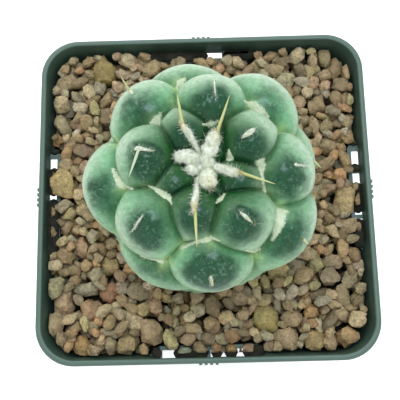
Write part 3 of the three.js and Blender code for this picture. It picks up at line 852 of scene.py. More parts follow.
# Depths and heights are how far points move, and the other sizes how wide a form is, all in mm. A fold's
# shadow is how much painted shadow lies along it.
DENT = dict(depth=0.5, half_width=0.55, half_length=1.9)
BRIM = dict(height=0.16, half_width=1.7, half_length=2.8)
CREASE = dict(depth=0.9, width=0.55, left_under_felt=0.15)
FOLD = dict(depth=0.5, width=0.36, lip=0.14, lip_at=0.9, lip_width=0.4, shadow=0.75, shadow_width=0.3)
FELT_THICKNESS = 0.06
UNEVEN = [(0.10, 7.0, 3), (0.035, 2.3, 4)]       # rows of height, wavelength and seed


def ripple(points, wavelength, seed):
    """Soft unevenness: a sum of sine waves in seeded directions, of one wavelength."""
    draw = np.random.default_rng(seed)
    ways = unit_vectors(draw.normal(size=(9, 3)))
    phase = draw.uniform(0, 2 * math.pi, 9)
    return np.sin(points @ ways.T * (2 * math.pi / wavelength) + phase).mean(axis=1)


def mound(form, sideways, lengthways):
    """A long round form: exp(-(sideways / half width)^2 - (lengthways / half length)^2)."""
    return np.exp(-(sideways / form["half_width"]) ** 2 - (lengthways / form["half_length"]) ** 2)


place_on = local_place(skin, owner)
grown = owner < TUBERCLES                        # not the core, nor the root
tubercle = np.where(grown, owner, TUBERCLES - 1)
from_slit = (place_on[:, 0] * body_sizes[owner, 0],
             (place_on[:, 1] - np.sin(slit_turn[tubercle])) * body_sizes[owner, 1])
dented = grown & (tubercle >= YOUNGEST_DENT) & (place_on[:, 2] > 0)
reach += dented * (BRIM["height"] * mound(BRIM, *from_slit) - DENT["depth"] * mound(DENT, *from_slit))
open_crease = 1 - (1 - CREASE["left_under_felt"]) * felt
reach -= CREASE["depth"] * np.exp(-gap / CREASE["width"]) * open_crease
reach += FELT_THICKNESS * felt
fold_shadow = np.zeros(len(skin))
for line in WRINKLES.values():
    fold, _ = on_skin(along_line(line, np.linspace(0, 1, FELT_STATIONS)))
    away = np.linalg.norm(skin[:, None] - fold[None], axis=2).min(axis=1)
    reach -= FOLD["depth"] * np.exp(-(away / FOLD["width"]) ** 2)
    reach += FOLD["lip"] * np.exp(-((away - FOLD["lip_at"]) / FOLD["lip_width"]) ** 2)
    # Painted shadow along each fold, which the skin's colour reads.
    fold_shadow += FOLD["shadow"] * np.exp(-(away / FOLD["shadow_width"]) ** 2)
for height, wavelength, seed in UNEVEN:
    reach += height * ripple(skin, wavelength, seed)
skin = MIDDLE + ways * reach[:, None]
print("skin after creasing: height", np.round(skin[:, 2].min(), 1), "to", np.round(skin[:, 2].max(), 1))

# %% [markdown]
# The colours of a plant follow its growth, not a flat pattern, and some of them are painted light
# and shade. So what they need is worked out here and stored on the points, as numbers from 0 to
# about 1: how near a point is to the dark tip of its tubercle, worn and in painted shade, how near
# to a crease or a corner, how far out it faces, and how far towards the back, which gets painted
# light from behind, how far it is from the crown, how much painted shadow a fold casts, and how old
# and corky it is.

# %% Numbers for the colours
WORN_AND_SHADED_TIP = dict(most_turn=math.radians(24), to_front=0.28, radius=0.68, edge=2.2)    # angles in radians
TIP_WEAR_AND_SHADE_BY_AGE = dict(age=[0, 6, 12, 15, TUBERCLES], worn_and_shaded=[0.6, 1.0, 1.0, 0.7, 0.5])
STRAY_WEAR_AND_SHADE = {14: 1.6, 16: 1.3, 17: 1.35, 19: 1.2}
SHADE = dict(crease=0.9, corner=1.8, corner_most=0.8)    # mm that the dark of a crease reaches
PAINTED_BACK_LIGHT, MOST_BLOOM_AND_LIGHT = 0.22, 1.2       # how much paler the faces towards the back are painted, as painted light from behind, and the most of bloom and that light
CROWN_RADIUS = 22.5              # mm from the crown to the flanks
FLANK_TOP, CORK_TOP = 76, 66     # heights under which skin is flank, and turns to cork
CORK_FADE = 8                    # mm over which it turns

# The dark tip, worn bloom with painted shade, lies between a tubercle's own tip and its highest point, a
# little to the front, away from the light behind.
lean = np.radians(measure("lean", age))
dark_tip_turn = np.minimum((math.pi / 2 - lean) / 2, WORN_AND_SHADED_TIP["most_turn"])
dark_tip_way = np.column_stack([0 * age, np.sin(dark_tip_turn), np.cos(dark_tip_turn)])
dark_tip_way = unit_vectors(dark_tip_way - WORN_AND_SHADED_TIP["to_front"] * frames[:, :, 1])
unit = unit_vectors(place_on)
tip_angle = np.arccos(np.clip((unit * dark_tip_way[tubercle]).sum(axis=1), -1, 1))
dark_tip_by_age = np.interp(age, TIP_WEAR_AND_SHADE_BY_AGE["age"], TIP_WEAR_AND_SHADE_BY_AGE["worn_and_shaded"]) * each_one(STRAY_WEAR_AND_SHADE, 1)
facing_back = np.einsum("pi,pij->pj", place_on / body_sizes[owner], body_frames[owner])
facing_back = unit_vectors(facing_back)[:, 1]
from_crown = np.hypot(skin[:, 0] - CROWN[0], skin[:, 1] - CROWN[1]) / CROWN_RADIUS
values = dict(
    # the dark tip: worn bloom and painted shade
    tip=np.exp(-(tip_angle / WORN_AND_SHADED_TIP["radius"]) ** WORN_AND_SHADED_TIP["edge"]) * grown * dark_tip_by_age[tubercle],
    crease=np.exp(-gap / SHADE["crease"]),
    corner=SHADE["corner_most"] * np.exp(-(corner_gap / SHADE["corner"]) ** 2),
    # painted light from behind: faces towards the back get more of the pale bloom colour
    outer=np.clip((1 - unit[:, 1]) / 2 + PAINTED_BACK_LIGHT * facing_back, 0, MOST_BLOOM_AND_LIGHT),
    from_crown=np.where(skin[:, 2] < FLANK_TOP, 1.0, from_crown),
    felt=felt,
    fold_shadow=fold_shadow,
    old=np.clip((CORK_TOP - skin[:, 2]) / CORK_FADE, 0, 1),
)
print("mean of each:", {name: round(float(value.mean()), 2) for name, value in values.items()})

# %% [markdown]
# The skin of such a plant is a tough green leather with a bloom of wax. The bloom makes the flanks
# pale and milky, and faces towards the back are painted paler still, as painted light from behind.
# The tips are a dark blue-green: the bloom is thin where water and fingers have worn it off, and
# they are painted darker as shade on the faces that turn up and to the front. Creases and folds are
# painted darker as shade, old corners paler, and the foot turns to cork. The wax gives a soft
# gloss, and light goes a millimetre or so into the flesh.
#
# The colours are coats: flesh, then bloom with its painted back light, then the worn tips with
# their painted shade, the painted shade of creases and folds, and age. The bloom lies in clouds of
# 4 mm. Coat and sheen are the wax.

# %% Waxy skin: the flesh and its bloom
# The tip's colour is worn bloom and painted shade, the crease and fold colours are painted shade, and the
# bloom's colour carries painted back light too.
SKIN = dict(young="#17501f", middle="#6cab7c", bloom_and_back_light="#9cb498", tip="#14432b",
            young_crease_shade="#0b3010", crease="#3f7440", corner="#abc88a", fleck="#9fc2a8",
            fold="#17402c", cork="#8b9273")

stem_skin, skin_shader = new_material("waxy_skin", {
    "IOR": 1.4, "Specular IOR Level": 0.2, "Coat Weight": 0.25, "Coat Roughness": 0.14,
    "Subsurface Weight": 0.08, "Subsurface Radius": (0.5, 1.0, 0.4), "Subsurface Scale": MM,
    "Sheen Weight": 0.1, "Sheen Roughness": 0.25, "Sheen Tint": "#d9ead8"})
place = add_node(stem_skin, "TexCoord").outputs["Object"]
stored = {name: add_node(stem_skin, "Attribute", attribute_name=name).outputs["Fac"]
          for name in values}
cloud = add_node(stem_skin, "TexNoise",
                 {"Vector": place, "Scale": 1 / (4 * MM), "Detail": 5.0, "Roughness": 0.65})
grown_up = add_node(stem_skin, "MapRange",
                    {"Value": stored["from_crown"], "From Min": 0.3, "From Max": 0.8},
                    interpolation_type="SMOOTHSTEP")
# The bloom's share also carries painted light from behind.
bloom_and_back_light = add_node(stem_skin, "Math", {0: stored["outer"], 1: stored["from_crown"]}, operation="MULTIPLY")
bloom_and_back_light = add_node(stem_skin, "Math", {0: cloud, 1: 0.45, 2: bloom_and_back_light}, operation="MULTIPLY_ADD")
bloom_and_back_light_share = add_node(stem_skin, "MapRange", {"Value": bloom_and_back_light, "From Min": 0.25, "From Max": 0.9},
                   interpolation_type="SMOOTHSTEP")
# The dark tips: worn bloom, and painted shade on faces that turn up and to the front.
wear_and_shade = add_node(stem_skin, "Math", {0: cloud, 1: 0.9, 2: stored["tip"]}, operation="MULTIPLY_ADD")
worn_and_shaded = add_node(stem_skin, "MapRange",
                {"Value": wear_and_shade, "From Min": 0.78, "From Max": 1.36, "To Max": 0.95},
                interpolation_type="SMOOTHSTEP")
# Painted shade in the creases, darkest near the crown.
crease_shade = add_node(stem_skin, "Math", {0: stored["crease"], 1: 0.8}, operation="MULTIPLY")
cornered = add_node(stem_skin, "Math", {0: stored["corner"], 1: grown_up}, operation="MULTIPLY")
corked = add_node(stem_skin, "Math", {0: stored["old"], 1: cloud}, operation="MULTIPLY")
crease_shade_colour = coats(stem_skin, SKIN["young_crease_shade"], (grown_up, SKIN["crease"]))
flesh = coats(stem_skin, SKIN["young"], (grown_up, SKIN["middle"]), (bloom_and_back_light_share, SKIN["bloom_and_back_light"]),
              (worn_and_shaded, SKIN["tip"]), (crease_shade, crease_shade_colour), (cornered, SKIN["corner"]),
              (stored["fold_shadow"], SKIN["fold"]), (corked, SKIN["cork"]))
print("numbers read by the skin's finish:", ", ".join(stored))

# %% [markdown]
# Seen closely, the skin is mottled, with pale flecks of wax left on the dark tips, in patches of
# 2.6 mm. Real flecks are 0.2 mm and pores finer still, too fine to show, so both are drawn at 0.6 mm
# and the mottling at 0.9 mm. The felt is laid on last. Its edge is ragged, because the felt's
# number only shows where a tangle of 0.4 mm threads is dense, and it has no gloss.

# %% Waxy skin: flecks, felt and gloss
FELT = dict(shade="#a3b78f", light="#dde4c9")

flecks = add_node(stem_skin, "TexNoise",
                  {"Vector": place, "Scale": 1 / (0.6 * MM), "Detail": 2.0, "Roughness": 0.6})
flecked = add_node(stem_skin, "MapRange",
                   {"Value": flecks, "From Min": 0.48, "From Max": 0.7, "To Max": 0.24},
                   interpolation_type="SMOOTHSTEP")
patches = add_node(stem_skin, "TexNoise",
                   {"Vector": place, "Scale": 1 / (2.6 * MM), "Detail": 3.0, "Roughness": 0.6})
patchy = add_node(stem_skin, "Math", {0: stored["tip"], 1: 0.2, 2: patches}, operation="MULTIPLY_ADD")
patched = add_node(stem_skin, "MapRange", {"Value": patchy, "From Min": 0.6, "From Max": 0.8},
                   interpolation_type="SMOOTHSTEP")
fleck_here = add_node(stem_skin, "Math", {0: flecked, 1: patched}, operation="MULTIPLY")
fine = add_node(stem_skin, "TexNoise",
                {"Vector": place, "Scale": 1 / (0.9 * MM), "Detail": 6.0, "Roughness": 0.75})
lightness = add_node(stem_skin, "MapRange",
                     {"Value": fine, "From Min": 0.3, "From Max": 0.7, "To Min": 0.72,
                      "To Max": 1.28})
mottled = add_node(stem_skin, "VectorMath", {0: flesh, 1: lightness}, operation="MULTIPLY")
threads = add_node(stem_skin, "TexNoise",
                   {"Vector": place, "Scale": 1 / (0.4 * MM), "Detail": 5.0, "Roughness": 0.75})
ragged = add_node(stem_skin, "Math", {0: threads, 1: 1.9, 2: stored["felt"]}, operation="MULTIPLY_ADD")
felted = add_node(stem_skin, "MapRange", {"Value": ragged, "From Min": 1.15, "From Max": 1.72},
                  interpolation_type="SMOOTHSTEP")
felt_colour = coats(stem_skin, FELT["shade"], (threads, FELT["light"]))
gloss = add_node(stem_skin, "MapRange", {"Value": worn_and_shaded, "To Min": 0.5, "To Max": 0.26})
matt = add_node(stem_skin, "Math", {0: gloss, 1: felted}, operation="MAXIMUM")
pores = add_node(stem_skin, "TexNoise", {"Vector": place, "Scale": 1 / (0.6 * MM), "Detail": 3.0})
pored = add_node(stem_skin, "Bump", {"Height": pores, "Strength": 0.2, "Distance": 0.15 * MM})
skin_colour = coats(stem_skin, mottled, (fleck_here, SKIN["fleck"]), (felted, felt_colour))
fill_sockets(skin_shader, {"Base Color": skin_colour, "Roughness": matt, "Normal": pored})
stem = add_mesh("cactus_skin", skin, [skin_faces], stem_skin, values)
settle(stem, "stem_skin", "cactus_stem")

# %% [markdown]
# ## Spines and wool
#
# A spine and a hair of wool are the same shape at two sizes: a cone bent along its length. So one
# function makes thousands at once, as a little triangle or octagon carried along a curved path.

# %% Bent cones
def bent_cones(roots, ways, lengths, thick, curl, stations=4, sides=3, thin=0.15):
    """Each path is root + length * (way * s + curl * s * s), and the ring round it has the
    radius thick * (1 - (1 - thin) * s^2). Rings of all paths are one array."""
    count = len(roots)
    s = np.linspace(0, 1, stations)
    path = roots[:, None] + lengths[:, None, None] * (
        ways[:, None] * s[None, :, None] + curl[:, None] * (s * s)[None, :, None])
    helper = np.where(np.abs(ways[:, 2:]) < 0.9, [[0, 0, 1.0]], [[1.0, 0, 0]])
    side = unit_vectors(np.cross(ways, helper))
    other = np.cross(ways, side)
    angle = (np.arange(sides) * 2 * math.pi / sides)[None, :, None]
    ring = side[:, None] * np.cos(angle) + other[:, None] * np.sin(angle)
    girth = thick[:, None] * (1 - (1 - thin) * s ** 2)
    points = path[:, :, None] + girth[:, :, None, None] * ring[:, None]
    start = np.arange(count)[:, None, None] * (stations * sides)
    quads = (grid_faces(stations, sides)[None] + start).reshape(-1, 4)
    low = (np.arange(sides)[::-1][None, None] + start).reshape(-1, sides)
    high = ((stations - 1) * sides + np.arange(sides)[None, None] + start).reshape(-1, sides)
    return points.reshape(-1, 3), [quads, low, high], np.tile(np.repeat(s, sides), count)


one = np.array([[0, 0, 1.0]])
print("points of one cone:", len(bent_cones(one, one, np.ones(1), np.ones(1), 0 * one)[0]))

# %% [markdown]
# Each spine that shows is placed by the pixels of its root and its tip. The root lies on the skin,
# and the tip's height over the rim is a guess that fits its length. On the flanks, which the
# picture doesn't show, a few short spines stand at their areoles, with a rise over level each.

# %% Where the spines stand
SPINES = {
    "upper_right": dict(root=(216.5, 134), tip=(229.6, 95.3), tip_height=26.5, girth=0.35),
    "upper_left": dict(root=(183, 127), tip=(177, 93.6), tip_height=27.0, girth=0.35),
    "right": dict(root=(240.5, 172.5), tip=(275.3, 184), tip_height=26.5, girth=0.32),
    "front": dict(root=(195, 210), tip=(196.9, 246.8), tip_height=27.0, girth=0.32),
    "left": dict(root=(138.5, 150), tip=(128.9, 177), tip_height=27.0, girth=0.3, pale=0.75),
    "far_left": dict(root=(129.5, 91), tip=(120.7, 76), tip_height=24.5, girth=0.24),
    "low_right": dict(root=(304, 240.5), tip=(308.8, 245), tip_height=18.0, girth=0.22),
    "far_right": dict(root=(314.2, 161.5), tip=(321.3, 168), tip_height=14.0, girth=0.3, pale=0.3),
    "low_front": dict(root=(212, 281), tip=(213, 286), tip_height=22.5, girth=0.2),
}
SIDE_SPINES = {15: -40, 18: -40, 21: -40, 23: -10, 25: -15, 26: -10}
SIDE_SPINE = dict(length=2.6, girth=0.22, pale=0.2)
SUNK = 0.5                       # how deep a spine's root stands in the skin
SAG = np.array([[0, 0, 0.06]])   # a spine starts lower than its tip's direction and bends up

side = list(SIDE_SPINES)
side_ways = direction(heading[side], np.array(list(SIDE_SPINES.values()), float))
side_roots = (centres + along * (sizes[:, 1] * np.sin(slit_turn))[:, None]
              + outward * (sizes[:, 2] * np.cos(slit_turn))[:, None])[side]
shown_roots, _ = on_skin([spine["root"] for spine in SPINES.values()])
shown_tips = np.concatenate([at_height([spine["tip"]], RIM + spine["tip_height"])
                             for spine in SPINES.values()])
roots = np.concatenate([shown_roots, side_roots])
tips = np.concatenate([shown_tips, side_roots + side_ways * SIDE_SPINE["length"]])
girths = np.array([spine["girth"] for spine in SPINES.values()]
                  + [SIDE_SPINE["girth"]] * len(side))
pale = [spine.get("pale", 0) for spine in SPINES.values()] + [SIDE_SPINE["pale"]] * len(side)
lengths = np.linalg.norm(tips - roots, axis=1)
spine_ways = (tips - roots) / lengths[:, None]
points, sheets, station = bent_cones(
    roots - SUNK * spine_ways, spine_ways - SAG, lengths + SUNK, girths,
    np.repeat(SAG, len(roots), axis=0), stations=14, sides=8)
print("spine lengths:", np.round(lengths, 1))

# %% [markdown]
# Spines are hard and smooth like horn, so they shine a little. They are orange at the root, straw
# yellow along their length and brown at the very tip, and old ones fade to grey. The run along
# each spine is stored on its points, and a colour ramp reads it. Fibres of 0.4 mm, coarser than
# the real ones, keep the yellow from being flat.

# %% Spine horn
HORN_STOPS = [(0.0, "#b9822b"), (0.2, "#a9ab62"), (0.85, "#bac698"), (1.0, "#a08452")]

spine_horn, spine_shader = new_material("spine_horn", {"Roughness": 0.35, "IOR": 1.54})
run = add_node(spine_horn, "Attribute", attribute_name="run").outputs["Fac"]
faded = add_node(spine_horn, "Attribute", attribute_name="pale").outputs["Fac"]
horn_ramp = add_node(spine_horn, "ValToRGB", {"Fac": run})
stops = horn_ramp.color_ramp.elements
stops.remove(stops[1])
stops[0].color = linear(HORN_STOPS[0][1])
for position, colour in HORN_STOPS[1:]:
    stops.new(position).color = linear(colour)
place = add_node(spine_horn, "TexCoord").outputs["Object"]
fibre = add_node(spine_horn, "TexNoise", {"Vector": place, "Scale": 1 / (0.4 * MM), "Detail": 2.0})
fill_sockets(spine_shader, {
    "Base Color": coats(spine_horn, horn_ramp, (fibre, "#bcbf7a"), (faded, "#b9c8b0"))})

spines = add_mesh("spines", points, sheets, spine_horn,
                  dict(run=station, pale=np.repeat(pale, len(points) // len(pale))))
settle(spines, "wool_fibre")

# %% [markdown]
# The wool is plant hair, like cotton. On the crown it lies in a star whose arms run out to the
# youngest areoles. Each arm is a soft pad laid on the skin along a line of pixels, with widths in
# pixels and a height in mm. An older areole has only a thin tuft, which fills its slit. Areoles
# that the picture doesn't show follow their tubercle's slit, with widths in mm.

# %% Where the wool lies
WOOL_ARMS = {
    "middle": dict(line=[(201, 154), (207, 160), (207, 170)], width=[18, 24, 20], height=1.7, hairs=1200),
    "left": dict(line=[(205, 162), (190, 157), (174, 156)], width=[17, 17, 13], height=0.8, hairs=1200),
    "lower_left": dict(line=[(204, 166), (194, 169), (186, 171)], width=[12, 14, 11], height=0.9,
                       hairs=600),
    "front": dict(line=[(205, 166), (208, 178), (209.5, 189)], width=[15, 20, 15], height=1.0,
                  hairs=1200),
    "upper_right": dict(line=[(205, 161), (211, 146), (216.5, 131)], width=[12, 18, 12], height=1.0,
                        hairs=1200),
    "right": dict(line=[(211, 166), (226, 170), (240, 174)], width=[12, 10, 11], height=0.8, hairs=1000),
    "upper_left": dict(line=[(202, 157), (195, 145), (187, 132), (181, 123)], width=[4, 5, 8, 6],
                       height=0.6, hairs=800),
    "lower_front": dict(line=[(200, 175), (197, 184), (195.5, 197), (193.5, 213)],
                        width=[5, 4, 8, 4], height=0.6, hairs=700),
}
# Tufts at the areoles, by the number of their tubercle.
AREOLE_WOOL = {
    7: dict(line=[(242, 137.5), (248, 133.5), (255, 128.5)], width=[2, 6, 4], height=0.2, hairs=260),
    8: dict(line=[(132, 151.5), (138, 148), (145, 149.5), (153, 151)], width=[2, 5.5, 3, 1],
            height=0.22, hairs=220),
    9: dict(line=[(240, 212), (247, 217.5), (255, 224)], width=[2, 4.5, 2.5], height=0.22, hairs=160),
    10: dict(line=[(214, 79), (215, 88), (215.5, 98)], width=[1, 1.6, 0.8], height=0.12, hairs=70),
    11: dict(line=[(143, 215), (137, 223), (131.5, 232)], width=[2, 2, 1], height=0.12, hairs=160),
    12: dict(line=[(294, 164.5), (300, 165), (307, 166)], width=[3, 2, 1], height=0.12, hairs=140),
    13: dict(line=[(129, 90), (131, 91.5), (133, 94)], width=[2, 3, 2], height=0.12, hairs=80),
    14: dict(line=[(210.5, 276), (211.5, 280), (212, 285)], width=[3, 3, 2], height=0.12, hairs=120),
    17: dict(line=[(303.5, 239.5), (305, 241), (306.5, 242.5)], width=[2, 3, 2], height=0.12, hairs=30),
}
SIDE_AREOLES = [15, 16, 18, 19, 20, 21, 23, 24, 25, 26]
AREOLE_WOOL |= {number: dict(on=number, half_length=1.5, width=[0.2, 0.45, 0.3], height=0.12, hairs=50)
                for number in SIDE_AREOLES}
print("tufts:", len(WOOL_ARMS), "arms,", len(AXIL_WOOL), "dabs,", len(AREOLE_WOOL), "areoles")

# %% [markdown]
# A tuft could be hair curves, but only meshes are kept in the finished model. So a tuft is a lumpy
# pad, which gives it body, and some hundred bent cones that stand out of it and break its edge.

# %% Pads
PAD = dict(rings=18, around=12, depth=0.9, share=0.94, lumps=0.3, flat_top=1.3, end=0.0004)
FELT_HEIGHT = 0.2                # mm, of tufts that give no height of their own


def wool_pad(tuft):
    """A pad on the skin: path(s) + side * half width * cos(a) + normal * height * sin(a)^1.3, with
    the half width and the height shrunk to nothing at both ends by (1 - (2 s - 1)^6)^0.5, with
    smoothed random lumps, and with its underside sunk deeper. Returns its rings, and the normals
    and directions there."""
    share, path, normal, half = laid_line(tuft, PAD["rings"])
    forward = unit_vectors(np.gradient(path, axis=0))
    side = unit_vectors(np.cross(normal, forward))
    blunt = np.sqrt(np.clip(1 - (2 * share - 1) ** 6, PAD["end"], 1))[:, None]
    angle = np.arange(PAD["around"]) * 2 * math.pi / PAD["around"]
    height = tuft.get("height", FELT_HEIGHT)
    rise = np.where(np.sin(angle) > 0, height, max(height, PAD["depth"]))
    noise = rng.normal(size=(PAD["rings"], PAD["around"]))
    noise[1:-1] = (noise[:-2] + noise[1:-1] + noise[2:]) / 3
    noise = (noise + np.roll(noise, 1, axis=1) + np.roll(noise, -1, axis=1)) / 3
    lump = 1 + PAD["lumps"] * noise
    bulge = np.sign(np.sin(angle)) * np.abs(np.sin(angle)) ** PAD["flat_top"]
    ring = side[:, None] * (half[:, None] * blunt * np.cos(angle) * lump)[..., None]
    ring = ring + normal[:, None] * (rise * blunt * bulge * lump)[..., None]
    return path[:, None] + ring, normal, forward


print("points of a pad:", PAD["rings"] * PAD["around"])

# %% [markdown]
# The hairs stand out of a pad's upper side. Each heads out and along the arm, because wool is
# combed by the tubercle that it grew from, but a good half of its direction is random.

# %% Hairs
HAIR = dict(out=0.4, up=0.08, astray=0.55, along=(-0.4, 0.8), curl=0.45, from_middle=(0.2, 0.95),
            lengths=(0.4, 1.3), girths=(0.7, 1.2), stations=3)


def hairs(pad, normal, forward, count, length, girth):
    """Hairs out of a pad's upper side. Each starts between the pad's middle and its skin, heads
    out and along the arm with a random lean, and curls at random."""
    middle = pad.mean(axis=1)
    ring = rng.integers(0, PAD["rings"], count)
    spot = rng.integers(0, PAD["around"] // 2 + 1, count)
    out = pad[ring, spot] - middle[ring]
    roots = middle[ring] + out * rng.uniform(*HAIR["from_middle"], (count, 1))
    out /= np.linalg.norm(out, axis=1, keepdims=True) + 1e-9
    way = HAIR["out"] * out + HAIR["up"] * normal[ring]
    way = way + HAIR["astray"] * rng.normal(size=(count, 3))
    way += forward[ring] * rng.choice(HAIR["along"], (count, 1))
    lengths = length * rng.uniform(*HAIR["lengths"], count)
    girths = girth * rng.uniform(*HAIR["girths"], count)
    curl = HAIR["curl"] * rng.normal(size=(count, 3))
    points, sheets, _ = bent_cones(roots, unit_vectors(way), lengths, girths, curl,
                                   stations=HAIR["stations"])
    return points, *sheets


print("hairs of the crown:", sum(arm["hairs"] for arm in WOOL_ARMS.values()))

# %% [markdown]
# All tufts of one kind become one mesh. The felt in the corners needs no pads, because the skin
# carries it, and gets loose hairs only.

# %% Tufts
def wool(tufts, length, girth, padded=True):
    """Hairs on several tufts, with their pads, as one mesh. A girth is half a hair's thickness."""
    parts = []
    for tuft in tufts.values():
        pad, normal, forward = wool_pad(tuft)
        if padded:
            middle = pad.mean(axis=1, keepdims=True)
            parts.append(closed_shell(list(middle + (pad - middle) * PAD["share"])))
        parts.append(hairs(pad, normal, forward, tuft["hairs"], length, girth))
    return stacked(parts)


crown_points, crown_sheets = wool(WOOL_ARMS, length=0.65, girth=0.045)
felt_points, felt_sheets = wool(AXIL_WOOL, length=0.5, girth=0.025, padded=False)
areole_points, areole_sheets = wool(AREOLE_WOOL, length=0.5, girth=0.03)
print("points of wool:", len(crown_points), "crown,", len(felt_points), "felt,",
      len(areole_points), "areoles")

# %% [markdown]
# Fresh wool is white and matt and lets light through, so its shadows are soft. With the years it
# goes greenish and matted, and at the foot of a spine it is stained gold. How fresh and how golden
# it is are numbers on its points. Real fibres are 0.02 mm thick and wouldn't show, so the tangle is
# drawn at 0.7 mm with a bump of 0.25 mm, and the hairs are 0.05 to 0.09 mm thick.

# %% Plant wool
GOLDEN_SPOTS = [(182.5, 125), (216, 132), (216.5, 137), (241, 173), (210, 181), (210, 185),
                (194.5, 207), (254, 223)]
GOLDEN_RADIUS = 0.8
WOOL = dict(shade="#ccd5b8", light="#f0f4e2", gold="#cdb85c")
FELT_FRESH, AREOLE_FRESH, CORNER_GOLD = 0.2, 0.7, 0.8


def gold_share(points):
    """How golden the wool is: exp(-(d / radius)^2), d from the nearest golden spot."""
    spots, _ = on_skin(GOLDEN_SPOTS)
    away = np.linalg.norm(points[:, None] - spots[None], axis=2).min(axis=1)
    return np.exp(-(away / GOLDEN_RADIUS) ** 2)


plant_wool, wool_shader = new_material("plant_wool", {
    "Roughness": 0.85, "Sheen Weight": 0.3, "Sheen Roughness": 0.5, "Subsurface Weight": 0.3,
    "Subsurface Radius": (1.0, 0.95, 0.85), "Subsurface Scale": 0.6 * MM})
place = add_node(plant_wool, "TexCoord").outputs["Object"]
fresh = add_node(plant_wool, "Attribute", attribute_name="fresh").outputs["Fac"]
gold = add_node(plant_wool, "Attribute", attribute_name="gold").outputs["Fac"]
tangle = add_node(plant_wool, "TexNoise", {"Vector": place, "Scale": 1 / (0.7 * MM), "Detail": 5.0})
tangled = add_node(plant_wool, "MapRange", {"Value": tangle, "From Min": 0.35, "From Max": 0.65})
matted = coats(plant_wool, FELT["shade"], (tangled, FELT["light"]))
white = coats(plant_wool, WOOL["shade"], (tangled, WOOL["light"]))
crossed = add_node(plant_wool, "TexNoise", {"Vector": place, "Scale": 1 / (0.25 * MM), "Detail": 3.0})
fluffy = add_node(plant_wool, "Bump", {"Height": crossed, "Strength": 0.5, "Distance": 0.2 * MM})
wool_colour = coats(plant_wool, matted, (fresh, white), (gold, WOOL["gold"]))
fill_sockets(wool_shader, {"Base Color": wool_colour, "Normal": fluffy})

crown_wool = add_mesh("crown_wool", crown_points, crown_sheets, plant_wool,
                      dict(fresh=np.ones(len(crown_points)), gold=gold_share(crown_points)))
settle(crown_wool, "wool_fibre", "apex_wool")
points, sheets = stacked([(felt_points, *felt_sheets), (areole_points, *areole_sheets)])
freshness = np.where(np.arange(len(points)) < len(felt_points), FELT_FRESH, AREOLE_FRESH)
corner_wool = add_mesh("corner_wool", points, sheets, plant_wool,
                       dict(fresh=freshness, gold=CORNER_GOLD * gold_share(points)))
settle(corner_wool, "wool_fibre")

# %% [markdown]
# ## The grit
#
# The pot is filled with pumice and baked clay, broken to 2 or 3 mm and rounded by handling. Loose
# stones could fall in a physics simulation, but that is slow for more than a thousand. So they are
# dropped one by one on a map of heights: each takes the lowest of a few places, lies on what is
# there, and raises the map. That leaves a bed as level and as loose as poured grit.

# %% The map of heights
MAP_EDGE = 34.5                  # mm from the middle
CELL = 0.3                       # mm between the map's places
BED = 55.4                       # height of the fill that the loose stones lie on
STONE_LEVEL = 58.0               # a height amid them
WALL_AT_TOP = 32.9               # half the inside width where they lie

axis = np.arange(-MAP_EDGE, MAP_EDGE, CELL)
map_x, map_y = np.meshgrid(axis, axis, indexing="ij")
heights = np.full(map_x.shape, BED)
far_side = np.maximum(np.abs(map_x), np.abs(map_y))
near_side = np.minimum(np.abs(map_x), np.abs(map_y))
heights[(far_side > LEDGE["inner"]) & (near_side < LEDGE["floor_span"])] = LEDGE["top"]


def wall_distance(x, y):
    """How far a point is inside the pot's inner wall, whose corners are round."""
    corner = corner_radius(STONE_LEVEL) - POT["wall"]
    px = np.abs(x) - (WALL_AT_TOP - corner)
    py = np.abs(y) - (WALL_AT_TOP - corner)
    outside = np.hypot(np.maximum(px, 0), np.maximum(py, 0))
    inside = np.minimum(np.maximum(px, py), 0)
    return corner - outside - inside


def rest_height(x, y, radius, thick):
    """The lowest height of a stone's middle: over its footprint, the map plus the stone's own
    underside thick * (1 - (d / radius)^2)^0.5. Also returns what drop needs."""
    i = int(round((x - axis[0]) / CELL))
    j = int(round((y - axis[0]) / CELL))
    k = int(radius / CELL) + 1
    window = (slice(max(i - k, 0), i + k + 1), slice(max(j - k, 0), j + k + 1))
    d = np.hypot(map_x[window] - x, map_y[window] - y) / radius
    under = np.sqrt(np.clip(1 - d * d, 0, 1)) * thick
    return np.max(np.where(d < 1, heights[window] + under, 0)), window, d, under


def drop(x, y, radius, thick):
    """Lays a stone down and raises the map by it. Returns the height of its middle."""
    z, window, d, under = rest_height(x, y, radius, thick)
    heights[window] = np.where(d < 1, np.maximum(heights[window], z + under), heights[window])
    return z


print("map of heights:", heights.shape, "places")

# %% [markdown]
# A pile of stones looks alike everywhere, and the eye knows it by the few that stand out: the
# largest, the oddly coloured, and those on the pot's ledges. They are landmarks. Each lies where
# its pixel says, with its width in mm, its colour, and how many times longer it is along the
# picture's height than across.

